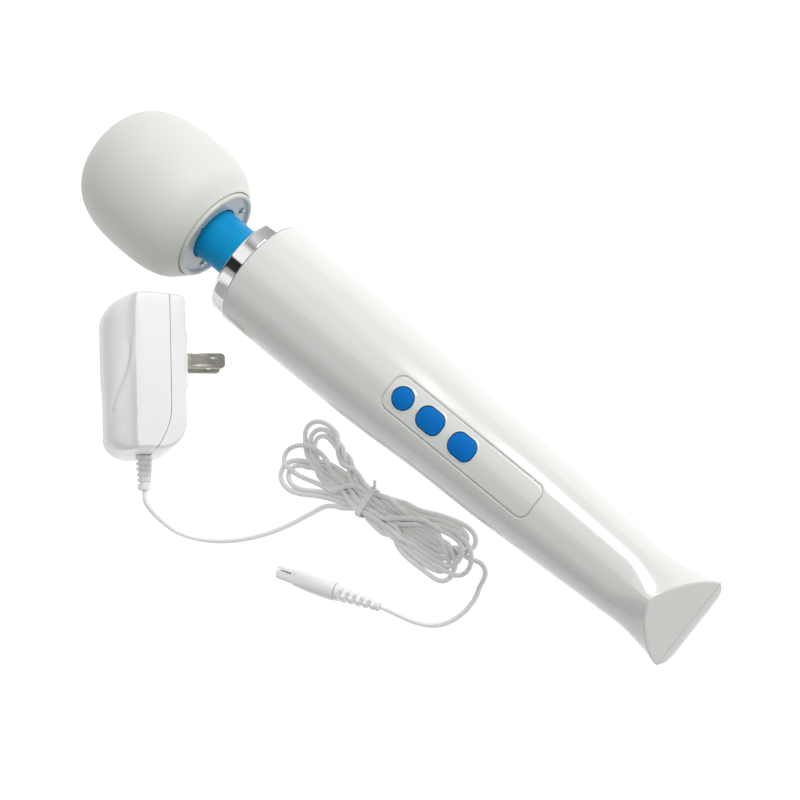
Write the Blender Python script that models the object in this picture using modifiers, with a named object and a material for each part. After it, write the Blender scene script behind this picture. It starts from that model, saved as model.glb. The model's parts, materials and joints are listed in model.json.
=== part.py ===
"""Cordless wand massager and its wall charger, for Blender 4.5. Metres, +Z up.

The wand lies on its back, buttons up, head towards +X. It rests on the head and on the heel of the
handle, so its own axis is pitched a little. Wand pieces are modelled in the wand's frame (x along the
wand, z out of the button panel) and parented to one pitched empty. The charger lies on the +Y side: its
adapter leans on one long edge and the tip of a blade, and is modelled with the blades to +X and its
width along Z, under an empty that gives it that lean.
"""
import math

import bmesh
import bpy
from mathutils import Vector

NAME = "wand_massager"
GAP = 0.0003                # clearance between pieces that touch

# ---- placing of the wand
PITCH = math.radians(2.17)  # nose-up angle of the wand's axis
AXIS_HEIGHT = 0.02604       # height of the axis above the ground at the origin
ORIGIN_SHIFT = 0.00288      # slides the wand along X so that its box is centred on the origin

# ---- handle: station x, half width, height above the axis, depth below the axis
HANDLE = (
    (-0.1650, 0.0209, 0.0175, 0.01990),
    (-0.1570, 0.0188, 0.0172, 0.01830),
    (-0.1450, 0.0170, 0.0170, 0.01690),
    (-0.1300, 0.0175, 0.0175, 0.01750),
    (-0.1050, 0.0190, 0.0190, 0.01900),
    (-0.0720, 0.0208, 0.0208, 0.02080),
    (-0.0400, 0.0218, 0.0218, 0.02180),
    (-0.0100, 0.0235, 0.0235, 0.02350),
    (0.0100, 0.0240, 0.0240, 0.02400),
    (0.0668, 0.0244, 0.0244, 0.02440),
)
FOOT_X = HANDLE[0][0]
SHELL_FRONT_X = HANDLE[-1][0]
WALL = 0.0022
CAVITY_REAR_X = -0.1520
CREASE_HEIGHT = -0.0060     # height of the foot's two sharp side corners
CREASE_POWER = 1.38         # section power at the foot: 2 is round, 1 has straight sides
CREASE_END_X = -0.1340      # where the section is round again
FACET_CORNER_X = -0.1640    # foot face at the corners' height
FACET_LEAN = 0.553          # how far the face leans back per unit of height
HEEL_ROUND = 47.6           # curvature of the heel below the corners
HALF_SEGMENTS = 14
STATION_COUNT = 22

# ---- control panel and buttons, in the top of the handle
PANEL_X = (-0.0916, -0.0150)
PANEL_HALF_WIDTH = 0.0079
PANEL_CORNER = 0.0042
PANEL_THICK = 0.0018
BUTTONS = (                 # name, x, half length, half width, corner radius
    ("power_button", -0.0225, 0.0047, 0.0047, 0.0047),
    ("pattern_button", -0.0370, 0.0060, 0.0050, 0.0034),
    ("speed_button", -0.0540, 0.0060, 0.0050, 0.0034),
)
BUTTON_PROUD = 0.0006
BUTTON_FLANGE = 0.0008
STEM_RADIUS = 0.0018
STEM_FOOT_Z = 0.0168

# ---- board, cells and motor inside the handle
BOARD_X = (-0.0940, -0.0130)
BOARD_HALF_WIDTH = 0.0085
BOARD_Z = (0.0102, 0.0118)
SWITCH_SIDE = 0.0060
SWITCH_TOP_Z = 0.0152
PLUNGER_TOP_Z = 0.0157
LED_X = (-0.0680, -0.0740, -0.0800, -0.0860)
CELL_RADIUS = 0.0092
CELL_LENGTH = 0.0650
CELL_Z = -0.0030
CELL_FRONT_X = (-0.0015, -0.0680)
MOTOR_RADIUS = 0.0180
MOTOR_X = (0.0030, 0.0520)
SHAFT_RADIUS = 0.0023
SCREWS = (                  # shell screws: x, y, z of head seat, shank top z
    (0.0602, 0.0130, -0.0125, 0.0140),
    (0.0602, -0.0130, -0.0125, 0.0140),
    (-0.1560, 0.0, -0.0130, 0.0020),
)
SOCKET_X = -0.1445
SOCKET_HALF = (0.0064, 0.0047)
SOCKET_CAVITY = (0.0048, 0.0031)
SOCKET_DEPTH = 0.0090

# ---- collar, neck and head, along the wand's axis
COLLAR_X = (0.0671, 0.0742)
COLLAR_RADIUS = 0.0244
NECK_HOLE = 0.0125
BOOT_RADIUS = 0.0118
BOOT_X = (0.0694, 0.0988)
HEAD_WIDE_X = 0.1195
HEAD_RADIUS = 0.0306
HEAD_DOME = 0.0398
HEAD_POWER = 3.0
BEARING_RADIUS = 0.0108
BEARING_SEAT = 0.0112
ECCENTRIC_SHAFT_RADIUS = 0.0040
TURN_STEPS = 24

# ---- charger, on the ground beside the wand: the adapter lies on one long edge and a prong's tip
ADAPTER_PLACE = (0.0967, 0.0753, 0.0084)
ADAPTER_TURN = math.radians(-138.0)   # heading that the prongs point in
ADAPTER_ROLL = math.radians(34.0)     # how far the prongs point down
ADAPTER_WIDTH = 0.0420
ADAPTER_SEAM = 0.0096
ADAPTER_EDGE = 0.0034
BOSS_P = (0.0152, 0.0180)             # the raised plate round the prongs
PRONG_HALF_WIDTH = 0.00318
PRONG_THICK = 0.0015
PRONG_SPREAD = 0.0127
PRONG_LENGTH = 0.0170
PRONG_Q = 0.0062
PRONG_ROOT_P = 0.0122
RELIEF_BASE = (0.0008, -0.0336)
RELIEF_LENGTH = 0.0145
CORD_RADIUS = 0.0011
HANK_CENTRE = (-0.0195, 0.0482)
HANK_TURN = math.radians(5.8)
HANK_FRONT = (0.0310, 0.0140)         # lobe centre along the hank, lobe radius
HANK_REAR = (0.0410, 0.0115)
HANK_WAIST = 0.0056
HANK_Z = (0.0002, 0.0078)
TIE_HALF_WIDTH = 0.0015
TIE_THICK = 0.0007
PLUG_REAR = (-0.0518, 0.0776)         # ground point under the ribs' thin end
PLUG_TURN = math.radians(20.8)
PLUG_HEIGHT = 0.0045
PLUG_RELIEF = 0.0206
PLUG_BODY = 0.0274

# Cord routes, chosen by hand: the lead from the adapter to the hank, and from the hank to the plug.
ADAPTER_LEAD = (
    (0.0550, 0.1029, 0.0253), (0.0519, 0.1061, 0.0248), (0.0480, 0.1081, 0.0214),
    (0.0448, 0.1097, 0.0150), (0.0408, 0.1106, 0.0085), (0.0361, 0.1096, 0.0036),
    (0.0305, 0.1068, 0.0014), (0.0233, 0.1019, 0.0012), (0.0172, 0.0963, 0.0012),
    (0.0116, 0.0900, 0.0012), (0.0067, 0.0832, 0.0012), (0.0026, 0.0760, 0.0012),
    (-0.0013, 0.0680, 0.0013), (-0.0064, 0.0607, 0.0018),
)
PLUG_LEAD = (
    (-0.0728, 0.0388, 0.0034), (-0.0766, 0.0410, 0.0024), (-0.0794, 0.0448, 0.0014),
    (-0.0810, 0.0505, 0.0012), (-0.0807, 0.0575, 0.0012), (-0.0782, 0.0643, 0.0012),
    (-0.0739, 0.0695, 0.0014), (-0.0681, 0.0729, 0.0020), (-0.0616, 0.0750, 0.0032),
    (-0.0566, 0.0762, 0.0042), (-0.0524, 0.0774, 0.0045),
)


# ------------------------------------------------------------------ scene, materials, helpers
def clear_scene():
    for item in list(bpy.data.objects):
        bpy.data.objects.remove(item, do_unlink=True)
    for group in list(bpy.data.collections):
        bpy.data.collections.remove(group)


def new_collection(name):
    group = bpy.data.collections.new(name)
    bpy.context.scene.collection.children.link(group)
    return group


def material(name, colour, roughness, metallic=0.0):
    made = bpy.data.materials.new(name)
    made.use_nodes = True
    shader = made.node_tree.nodes["Principled BSDF"]
    shader.inputs["Base Color"].default_value = (*colour, 1.0)
    shader.inputs["Roughness"].default_value = roughness
    shader.inputs["Metallic"].default_value = metallic
    made.diffuse_color = (*colour, 1.0)
    return made


def place(item, finish, parent, location=(0, 0, 0), rotation=(0, 0, 0)):
    """Put an object in the part's collection, under a frame, with its finish."""
    PARTS.objects.link(item)
    if finish is not None:
        item.data.materials.clear()
        item.data.materials.append(finish)
    item.parent = parent
    item.location = location
    item.rotation_euler = rotation
    return item


def frame_empty(name, location, rotation):
    made = bpy.data.objects.new(name, None)
    made.location = location
    made.rotation_euler = rotation
    made.empty_display_size = 0.02
    PARTS.objects.link(made)
    return made


def as_cutter(item):
    """Move an object to the cutters' collection, where the build leaves it out."""
    for group in list(item.users_collection):
        group.objects.unlink(item)
    CUTTERS.objects.link(item)
    item.hide_render = True
    item.display_type = 'WIRE'
    return item


def cut(target, cutter, operation='DIFFERENCE', solver='EXACT'):
    step = target.modifiers.new(cutter.name, 'BOOLEAN')
    step.operation = operation
    step.solver = solver
    step.object = cutter
    return target


def finish_mesh(name, mesh_builder, smooth_angle=35.0):
    mesh = bpy.data.meshes.new(name)
    bmesh.ops.recalc_face_normals(mesh_builder, faces=mesh_builder.faces)
    mesh_builder.to_mesh(mesh)
    mesh_builder.free()
    mesh.shade_smooth()
    mesh.set_sharp_from_angle(angle=math.radians(smooth_angle))
    return bpy.data.objects.new(name, mesh)


def turned(name, profile, closed=True, steps=TURN_STEPS):
    """A turned piece: profile points (radius, height) run down the outer side, top to bottom."""
    mesh = bpy.data.meshes.new(name)
    points = [(radius, 0.0, height) for radius, height in profile]
    edges = [(i, i + 1) for i in range(len(points) - 1)]
    if closed:
        edges.append((len(points) - 1, 0))
    mesh.from_pydata(points, edges, [])
    item = bpy.data.objects.new(name, mesh)
    screw = item.modifiers.new("turn", 'SCREW')
    screw.axis = 'Z'
    screw.steps = steps
    screw.render_steps = steps
    screw.use_merge_vertices = True
    screw.merge_threshold = 0.00001
    screw.use_smooth_shade = True
    return item


def loft(name, rings, half=False):
    """Skin closed rings that are symmetric side to side, and close both ends rung by rung."""
    builder = bmesh.new()
    rows = [[builder.verts.new(point) for point in ring] for ring in rings]
    count = len(rows[0])
    for near, far in zip(rows, rows[1:]):
        for i in range(count):
            j = (i + 1) % count
            builder.faces.new((near[i], near[j], far[j], far[i]))
    span = count - 1 if half else count // 2
    lowest = 0 if half else -(span // 2)
    for row in (rows[0], rows[-1]):
        for k in range(span // 2, lowest, -1):
            corners = []
            for index in (k % count, (k - 1) % count, (span - k + 1) % count, (span - k) % count):
                if row[index] not in corners:
                    corners.append(row[index])
            builder.faces.new(corners)
    return finish_mesh(name, builder)


def box(name, low, high, bevel=0.0):
    builder = bmesh.new()
    size = [b - a for a, b in zip(low, high)]
    middle = [(a + b) / 2 for a, b in zip(low, high)]
    bmesh.ops.create_cube(builder, size=1.0)
    bmesh.ops.scale(builder, vec=size, verts=builder.verts)
    bmesh.ops.translate(builder, vec=middle, verts=builder.verts)
    if bevel:
        bmesh.ops.bevel(builder, geom=builder.edges[:], offset=bevel, segments=2, affect='EDGES')
    return finish_mesh(name, builder)


def rounded_outline(half_x, half_y, radius, centre=(0.0, 0.0), per_corner=6):
    """Points round a rectangle with round corners, as arcs."""
    points = []
    for corner, (sx, sy) in enumerate(((1, 1), (-1, 1), (-1, -1), (1, -1))):
        for i in range(per_corner + 1):
            angle = math.radians(90 * corner + 90 * i / per_corner)
            points.append((centre[0] + sx * (half_x - radius) + radius * math.cos(angle),
                           centre[1] + sy * (half_y - radius) + radius * math.sin(angle)))
    return [p for p, q in zip(points, points[1:] + points[:1])
            if (Vector(p) - Vector(q)).length > 1e-6]


def prism(name, outlines, low, high):
    """A flat outline (with any holes after it) given a thickness along Z, as a closed mesh."""
    curve = bpy.data.curves.new(name, 'CURVE')
    curve.dimensions = '2D'
    curve.fill_mode = 'BOTH'
    curve.extrude = (high - low) / 2
    for outline in outlines:
        spline = curve.splines.new('POLY')
        spline.points.add(len(outline) - 1)
        for point, (x, y) in zip(spline.points, outline):
            point.co = (x, y, 0.0, 1.0)
        spline.use_cyclic_u = True
    source = bpy.data.objects.new(name + "_outline", curve)
    bpy.context.scene.collection.objects.link(source)
    bpy.context.view_layer.update()
    mesh = bpy.data.meshes.new_from_object(source.evaluated_get(bpy.context.evaluated_depsgraph_get()))
    bpy.data.objects.remove(source, do_unlink=True)
    builder = bmesh.new()
    builder.from_mesh(mesh)
    bpy.data.meshes.remove(mesh)
    bmesh.ops.remove_doubles(builder, verts=builder.verts, dist=0.00001)
    bmesh.ops.translate(builder, vec=(0, 0, (low + high) / 2), verts=builder.verts)
    return finish_mesh(name, builder)


def smooth_route(points, spacing):
    """Points at an even spacing along a Catmull-Rom curve through the route's own points."""
    knots = [Vector(p) for p in points]
    knots = [2 * knots[0] - knots[1]] + knots + [2 * knots[-1] - knots[-2]]
    fine = []
    for a, b, c, d in zip(knots, knots[1:], knots[2:], knots[3:]):
        for step in range(12):
            t = step / 12
            fine.append(0.5 * (2 * b + (c - a) * t + (2 * a - 5 * b + 4 * c - d) * t ** 2
                               + (3 * b - a - 3 * c + d) * t ** 3))
    fine.append(knots[-2])
    total = sum((q - p).length for p, q in zip(fine, fine[1:]))
    count = max(4, round(total / spacing))
    even, walked, index = [fine[0]], 0.0, 0
    for k in range(1, count):
        goal = total * k / count
        while walked + (fine[index + 1] - fine[index]).length < goal:
            walked += (fine[index + 1] - fine[index]).length
            index += 1
        part = (goal - walked) / (fine[index + 1] - fine[index]).length
        even.append(fine[index].lerp(fine[index + 1], part))
    even.append(fine[-1])
    return even


def wire(name, points, radius):
    curve = bpy.data.curves.new(name, 'CURVE')
    curve.dimensions = '3D'
    curve.bevel_depth = radius
    curve.bevel_resolution = 2
    curve.use_fill_caps = True
    spline = curve.splines.new('POLY')
    spline.points.add(len(points) - 1)
    for point, position in zip(spline.points, points):
        point.co = (*position, 1.0)
    return bpy.data.objects.new(name, curve)


ALONG = (0.0, math.pi / 2, 0.0)       # turns a piece's own Z onto the wand's axis


# ------------------------------------------------------------------ handle
def handle_sizes(x):
    """Half width, height and depth of the handle at x, from a smooth curve through HANDLE."""
    rows = HANDLE
    x = min(max(x, rows[0][0]), rows[-1][0])
    index = max(i for i in range(len(rows) - 1) if x >= rows[i][0] or i == 0)

    def slope(i, column):
        low, high = max(i - 1, 0), min(i + 1, len(rows) - 1)
        return (rows[high][column] - rows[low][column]) / (rows[high][0] - rows[low][0])

    a, b = rows[index], rows[index + 1]
    run = b[0] - a[0]
    t = (x - a[0]) / run
    values = []
    for column in (1, 2, 3):
        values.append((2 * t ** 3 - 3 * t ** 2 + 1) * a[column]
                      + (t ** 3 - 2 * t ** 2 + t) * run * slope(index, column)
                      + (3 * t ** 2 - 2 * t ** 3) * b[column]
                      + (t ** 3 - t ** 2) * run * slope(index + 1, column))
    return values


def foot_face_x(z):
    """Where the foot's face lies at height z: a flat facet, rounded under at the heel."""
    drop = min(z - CREASE_HEIGHT, 0.0)
    return FACET_CORNER_X + FACET_LEAN * (z - CREASE_HEIGHT) + HEEL_ROUND * drop * drop


def handle_point(x, angle, inset=0.0, split=0.0):
    """A point of the handle's section at x; angle 0 is the +Y side and 90 degrees the top."""
    width, top, bottom = (value - inset for value in handle_sizes(x))
    toward_foot = min(max((CREASE_END_X - x) / (CREASE_END_X - FOOT_X), 0.0), 1.0)
    toward_foot = toward_foot * toward_foot * (3 - 2 * toward_foot)
    middle = CREASE_HEIGHT * toward_foot + split
    power = 2.0 + (CREASE_POWER - 2.0) * toward_foot
    across, up = math.cos(angle), math.sin(angle)
    y = math.copysign(width * abs(across) ** (2 / power), across)
    reach = (top - middle) if up >= 0 else (bottom + middle)
    z = middle + math.copysign(reach * abs(up) ** (2 / power), up)
    lean = min(max((CREASE_END_X - x) / (CREASE_END_X - FOOT_X), 0.0), 1.0)
    return (x + lean * (foot_face_x(z) - FOOT_X), y, z)


def handle_stations(start, end, count):
    return [start + (end - start) * (i / (count - 1)) ** 1.25 for i in range(count)]


def handle_half(name, side):
    """The outer solid of one shell half: side is 1 for the front (top) and -1 for the back."""
    angles = [side * math.pi * i / HALF_SEGMENTS for i in range(HALF_SEGMENTS + 1)]
    rings = [[handle_point(x, angle, split=side * GAP / 2) for angle in angles]
             for x in handle_stations(FOOT_X, SHELL_FRONT_X, STATION_COUNT)]
    return loft(name, rings, half=True)


def handle_solid(name, start, end, inset, stations=12):
    """A full round solid that follows the handle's surface at some inset."""
    angles = [2 * math.pi * i / (2 * HALF_SEGMENTS) for i in range(2 * HALF_SEGMENTS)]
    rings = [[handle_point(x, angle, inset) for angle in angles]
             for x in [start + (end - start) * i / (stations - 1) for i in range(stations)]]
    return loft(name, rings)


def wand_cutter(item, location=(0, 0, 0), rotation=(0, 0, 0)):
    place(item, None, WAND, location, rotation)
    return as_cutter(item)


def upright(name, radius, low, high, steps=16):
    return turned(name, [(0, high), (radius, high), (radius, low), (0, low)], closed=False, steps=steps)


def build_shells():
    """Both shell halves. Their long chains of cuts need the manifold solver."""
    def shape(target, cutter, operation='DIFFERENCE'):
        cut(target, cutter, operation, 'MANIFOLD')

    cavity = wand_cutter(handle_solid("cavity_cutter", CAVITY_REAR_X, SHELL_FRONT_X + 0.002, WALL, 14))
    middle = sum(PANEL_X) / 2
    outline = rounded_outline((PANEL_X[1] - PANEL_X[0]) / 2 + GAP, PANEL_HALF_WIDTH + GAP,
                              PANEL_CORNER + GAP, (middle, 0.0))
    window = wand_cutter(prism("panel_window_cutter", [outline], 0.0100, 0.0300))
    front = place(handle_half("front_shell", 1), FINISH["body"], WAND)
    back = place(handle_half("back_shell", -1), FINISH["body"], WAND)
    shape(front, cavity)
    shape(front, window)
    shape(back, cavity)
    socket = rounded_outline(SOCKET_HALF[0] + GAP, SOCKET_HALF[1] + GAP, SOCKET_HALF[1] + GAP,
                             (SOCKET_X, 0.0))
    shape(back, wand_cutter(prism("socket_hole_cutter", [socket], -0.0300, -0.0050)))
    for index, (x, y, seat, top) in enumerate(SCREWS):
        number = index + 1
        if y:
            back_post = upright("back_post_%d" % number, 0.0039, -0.0158, -0.0005)
            front_post = upright("front_post_%d" % number, 0.0028, 0.0005, 0.0172)
            shape(back, wand_cutter(back_post, (x, y, 0)), 'UNION')
            shape(front, wand_cutter(front_post, (x, y, 0)), 'UNION')
        bore = upright("screw_bore_%d" % number, 0.0016, -0.0300, top + 0.0006)
        sink = upright("screw_sink_%d" % number, 0.0032, -0.0300, seat)
        wand_cutter(bore, (x, y, 0))
        wand_cutter(sink, (x, y, 0))
        shape(back, bore)
        shape(back, sink)
        shape(front, bore)
        screw = turned("shell_screw_%d" % number,
                       [(0, top), (0.0012, top - 0.0006), (0.0012, seat - GAP), (0.0028, seat - GAP),
                        (0.0028, seat - 0.0014), (0.0022, seat - 0.0020), (0.0010, seat - 0.0020),
                        (0.0, seat - 0.0012)], closed=False, steps=12)
        place(screw, FINISH["steel"], WAND, (x, y, 0))


def build_panel():
    outer = handle_solid("control_panel", PANEL_X[0] - 0.004, PANEL_X[1] + 0.004, 0.0, 16)
    place(outer, FINISH["panel"], WAND)
    cut(outer, wand_cutter(handle_solid("panel_inside_cutter", PANEL_X[0] - 0.008,
                                        PANEL_X[1] + 0.008, PANEL_THICK, 18)))
    middle = sum(PANEL_X) / 2
    outline = rounded_outline((PANEL_X[1] - PANEL_X[0]) / 2, PANEL_HALF_WIDTH, PANEL_CORNER, (middle, 0.0))
    cut(outer, wand_cutter(prism("panel_outline_cutter", [outline], 0.0100, 0.0300)), 'INTERSECT')
    for name, x, half_x, half_y, corner in BUTTONS:
        hole = rounded_outline(half_x + GAP, half_y + GAP, corner + GAP, (x, 0.0))
        cut(outer, wand_cutter(prism(name + "_hole", [hole], 0.0100, 0.0300)))


def build_buttons():
    for name, x, half_x, half_y, corner in BUTTONS:
        surface = min(handle_sizes(x + end * half_x)[1] for end in (-1, 1))
        edge = 0.0005
        crown = surface + BUTTON_PROUD
        inside = surface - PANEL_THICK
        under = math.sqrt(inside ** 2 - (half_y + BUTTON_FLANGE) ** 2) - GAP
        layers = (          # height, growth of the outline
            (under - 0.0010, BUTTON_FLANGE), (under, BUTTON_FLANGE), (under, 0.0),
            (crown - edge, 0.0), (crown - edge * 0.3, -edge * 0.3), (crown, -edge * 1.4),
        )
        builder = bmesh.new()
        rows = []
        for height, growth in layers:
            outline = rounded_outline(half_x + growth, half_y + growth, max(corner + growth, 0.001))
            rows.append([builder.verts.new((px, py, height)) for px, py in outline])
        for near, far in zip(rows, rows[1:]):
            for i in range(len(near)):
                j = (i + 1) % len(near)
                builder.faces.new((near[i], near[j], far[j], far[i]))
        builder.faces.new(rows[0])
        builder.faces.new(rows[-1])
        button = place(finish_mesh(name, builder), FINISH["button"], WAND, (x, 0, 0))
        stem = upright(name + "_stem", STEM_RADIUS, STEM_FOOT_Z, under - 0.0004, steps=16)
        cut(button, wand_cutter(stem, (x, 0, 0)), 'UNION')


def build_electronics():
    place(box("control_board", (BOARD_X[0], -BOARD_HALF_WIDTH, BOARD_Z[0]),
              (BOARD_X[1], BOARD_HALF_WIDTH, BOARD_Z[1])), FINISH["board"], WAND)
    base = BOARD_Z[1] + GAP
    half = SWITCH_SIDE / 2
    for button, x, *_ in BUTTONS:
        switch = box(button.replace("button", "switch"), (x - half, -half, base),
                     (x + half, half, SWITCH_TOP_Z))
        place(switch, FINISH["dark"], WAND)
        plunger = upright(button + "_plunger", 0.0016, base + 0.001, PLUNGER_TOP_Z, steps=16)
        cut(switch, wand_cutter(plunger, (x, 0, 0)), 'UNION')
    for index, x in enumerate(LED_X):
        led = upright("level_led_%d" % (index + 1), 0.0013, base, 0.0140, steps=12)
        place(led, FINISH["led"], WAND, (x, 0, 0))
    for index, front in enumerate(CELL_FRONT_X):
        rear = front - CELL_LENGTH
        cell = turned("battery_cell_%d" % (index + 1),
                      [(0, front), (0.0030, front), (0.0030, front - 0.001),
                       (CELL_RADIUS - 0.0006, front - 0.001), (CELL_RADIUS, front - 0.0016),
                       (CELL_RADIUS, rear + 0.0006),
                       (CELL_RADIUS - 0.0006, rear), (0, rear)], closed=False, steps=24)
        place(cell, FINISH["cell"], WAND, (0, 0, CELL_Z), ALONG)
    tray = turned("battery_cradle", [(CELL_RADIUS + 0.0004, 0.0), (CELL_RADIUS + 0.0019, 0.0),
                                     (CELL_RADIUS + 0.0019, -0.134), (CELL_RADIUS + 0.0004, -0.134)])
    place(tray, FINISH["dark"], WAND, (0, 0, CELL_Z), ALONG)
    open_top = box("cradle_cutter", (-0.140, -0.020, CELL_Z - 0.002), (0.010, 0.020, 0.020))
    cut(tray, wand_cutter(open_top))
    low = -handle_sizes(SOCKET_X)[2] + 0.0002
    outline = rounded_outline(SOCKET_HALF[0], SOCKET_HALF[1], SOCKET_HALF[1], (SOCKET_X, 0.0))
    cavity = rounded_outline(SOCKET_CAVITY[0], SOCKET_CAVITY[1], SOCKET_CAVITY[1], (SOCKET_X, 0.0))
    socket = place(prism("charge_socket", [outline], low, low + SOCKET_DEPTH), FINISH["dark"], WAND)
    hollow = prism("socket_cavity_cutter", [cavity], low - 0.002, low + SOCKET_DEPTH - 0.0015)
    cut(socket, wand_cutter(hollow))


def build_motor():
    rear, front = MOTOR_X
    wall = 0.0015
    place(turned("motor_housing", [
        (MOTOR_RADIUS - wall, front), (MOTOR_RADIUS, front), (MOTOR_RADIUS, rear), (0.0036, rear),
        (0.0036, rear + 0.0018), (MOTOR_RADIUS - wall, rear + 0.0018)]),
        FINISH["steel"], WAND, (0, 0, 0), ALONG)
    cap = front + GAP
    place(turned("motor_end_cap", [
        (0.0036, cap + 0.0065), (0.0075, cap + 0.0065), (0.0075, cap + 0.0035),
        (MOTOR_RADIUS, cap + 0.0035), (MOTOR_RADIUS, cap), (0.0036, cap)]),
        FINISH["dark"], WAND, (0, 0, 0), ALONG)
    place(turned("motor_magnet", [
        (0.0132, front - 0.005), (0.0162, front - 0.005), (0.0162, rear + 0.006), (0.0132, rear + 0.006)]),
        FINISH["iron"], WAND, (0, 0, 0), ALONG)
    place(turned("armature_core", [
        (SHAFT_RADIUS + GAP, 0.0455), (0.0120, 0.0455), (0.0120, 0.0330), (0.0105, 0.0320), (0.0105, 0.0240),
        (0.0120, 0.0230), (0.0120, 0.0105), (SHAFT_RADIUS + GAP, 0.0105)]),
        FINISH["copper"], WAND, (0, 0, 0), ALONG)
    place(turned("motor_shaft", [
        (0, 0.0640), (SHAFT_RADIUS, 0.0636), (SHAFT_RADIUS, 0.0014), (0, 0.0010)], closed=False, steps=20),
        FINISH["steel"], WAND, (0, 0, 0), ALONG)
    for name, middle in (("motor_damper_rear", 0.0105), ("motor_damper_front", 0.0455)):
        place(turned(name, [
            (MOTOR_RADIUS + GAP, middle + 0.003), (0.0206, middle + 0.003), (0.0212, middle + 0.0015),
            (0.0212, middle - 0.0015), (0.0206, middle - 0.003), (MOTOR_RADIUS + GAP, middle - 0.003)]),
            FINISH["rubber"], WAND, (0, 0, 0), ALONG)
    coupling = turned("shaft_coupling", [
        (0, 0.0700), (0.0055, 0.0700), (0.0055, 0.0612), (SHAFT_RADIUS + GAP, 0.0612),
        (SHAFT_RADIUS + GAP, 0.0645), (0, 0.0645)], closed=False, steps=24)
    place(coupling, FINISH["brass"], WAND, (0, 0, 0), ALONG)
    place(turned("neck_bulkhead", [
        (0.0082, 0.0687), (0.0094, 0.0687), (0.0094, 0.0668), (0.0216, 0.0668), (0.0216, 0.0645),
        (0.0082, 0.0645)]), FINISH["dark"], WAND, (0, 0, 0), ALONG)


# ------------------------------------------------------------------ collar, neck and head
def arc(centre, radius, start, end, count):
    return [(centre[0] + radius * math.cos(math.radians(start + (end - start) * i / count)),
             centre[1] + radius * math.sin(math.radians(start + (end - start) * i / count)))
            for i in range(count + 1)]


def build_neck():
    rear, front = COLLAR_X
    edge = 0.0036
    profile = [(NECK_HOLE, front - 0.0004)]
    profile += arc((COLLAR_RADIUS - edge, front - edge), edge, 90, 0, 4)
    profile += [(COLLAR_RADIUS, rear), (0.0221, rear), (0.0221, front - 0.0030), (NECK_HOLE, front - 0.0026)]
    place(turned("chrome_collar", profile, steps=32), FINISH["chrome"], WAND, (0, 0, 0), ALONG)
    low, high = BOOT_X
    waist = 0.0005
    skin = []
    for i in range(7):
        t = i / 6
        skin.append((BOOT_RADIUS - waist * math.sin(math.pi * t), high - t * (high - 0.0720)))
    place(turned("neck_boot", [(0.0097, high)] + skin + [
        (BOOT_RADIUS, 0.0712), (0.0160, 0.0710), (0.0160, low), (0.0097, low)], steps=24),
        FINISH["blue"], WAND, (0, 0, 0), ALONG)
    turns, per_turn, radius = 6, 11, 0.0076
    coil = []
    for i in range(turns * per_turn + 1):
        angle = 2 * math.pi * i / per_turn
        x = 0.0705 + (0.0992 - 0.0705) * i / (turns * per_turn)
        coil.append((x, radius * math.cos(angle), radius * math.sin(angle)))
    place(wire("neck_spring", coil, 0.0009), FINISH["steel"], WAND)
    place(turned("flex_drive", [(0, 0.0990), (0.0024, 0.0990), (0.0024, 0.0703), (0, 0.0703)],
                 closed=False, steps=16), FINISH["steel"], WAND, (0, 0, 0), ALONG)


def dome(radius, length, start, end, count):
    """Superellipse profile points of the head, from near the tip down to its widest ring."""
    points = []
    for i in range(count + 1):
        angle = math.radians(start + (end - start) * i / count)
        points.append((radius * math.cos(angle) ** (2 / HEAD_POWER),
                       HEAD_WIDE_X + length * math.sin(angle) ** (2 / HEAD_POWER)))
    return points


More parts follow.
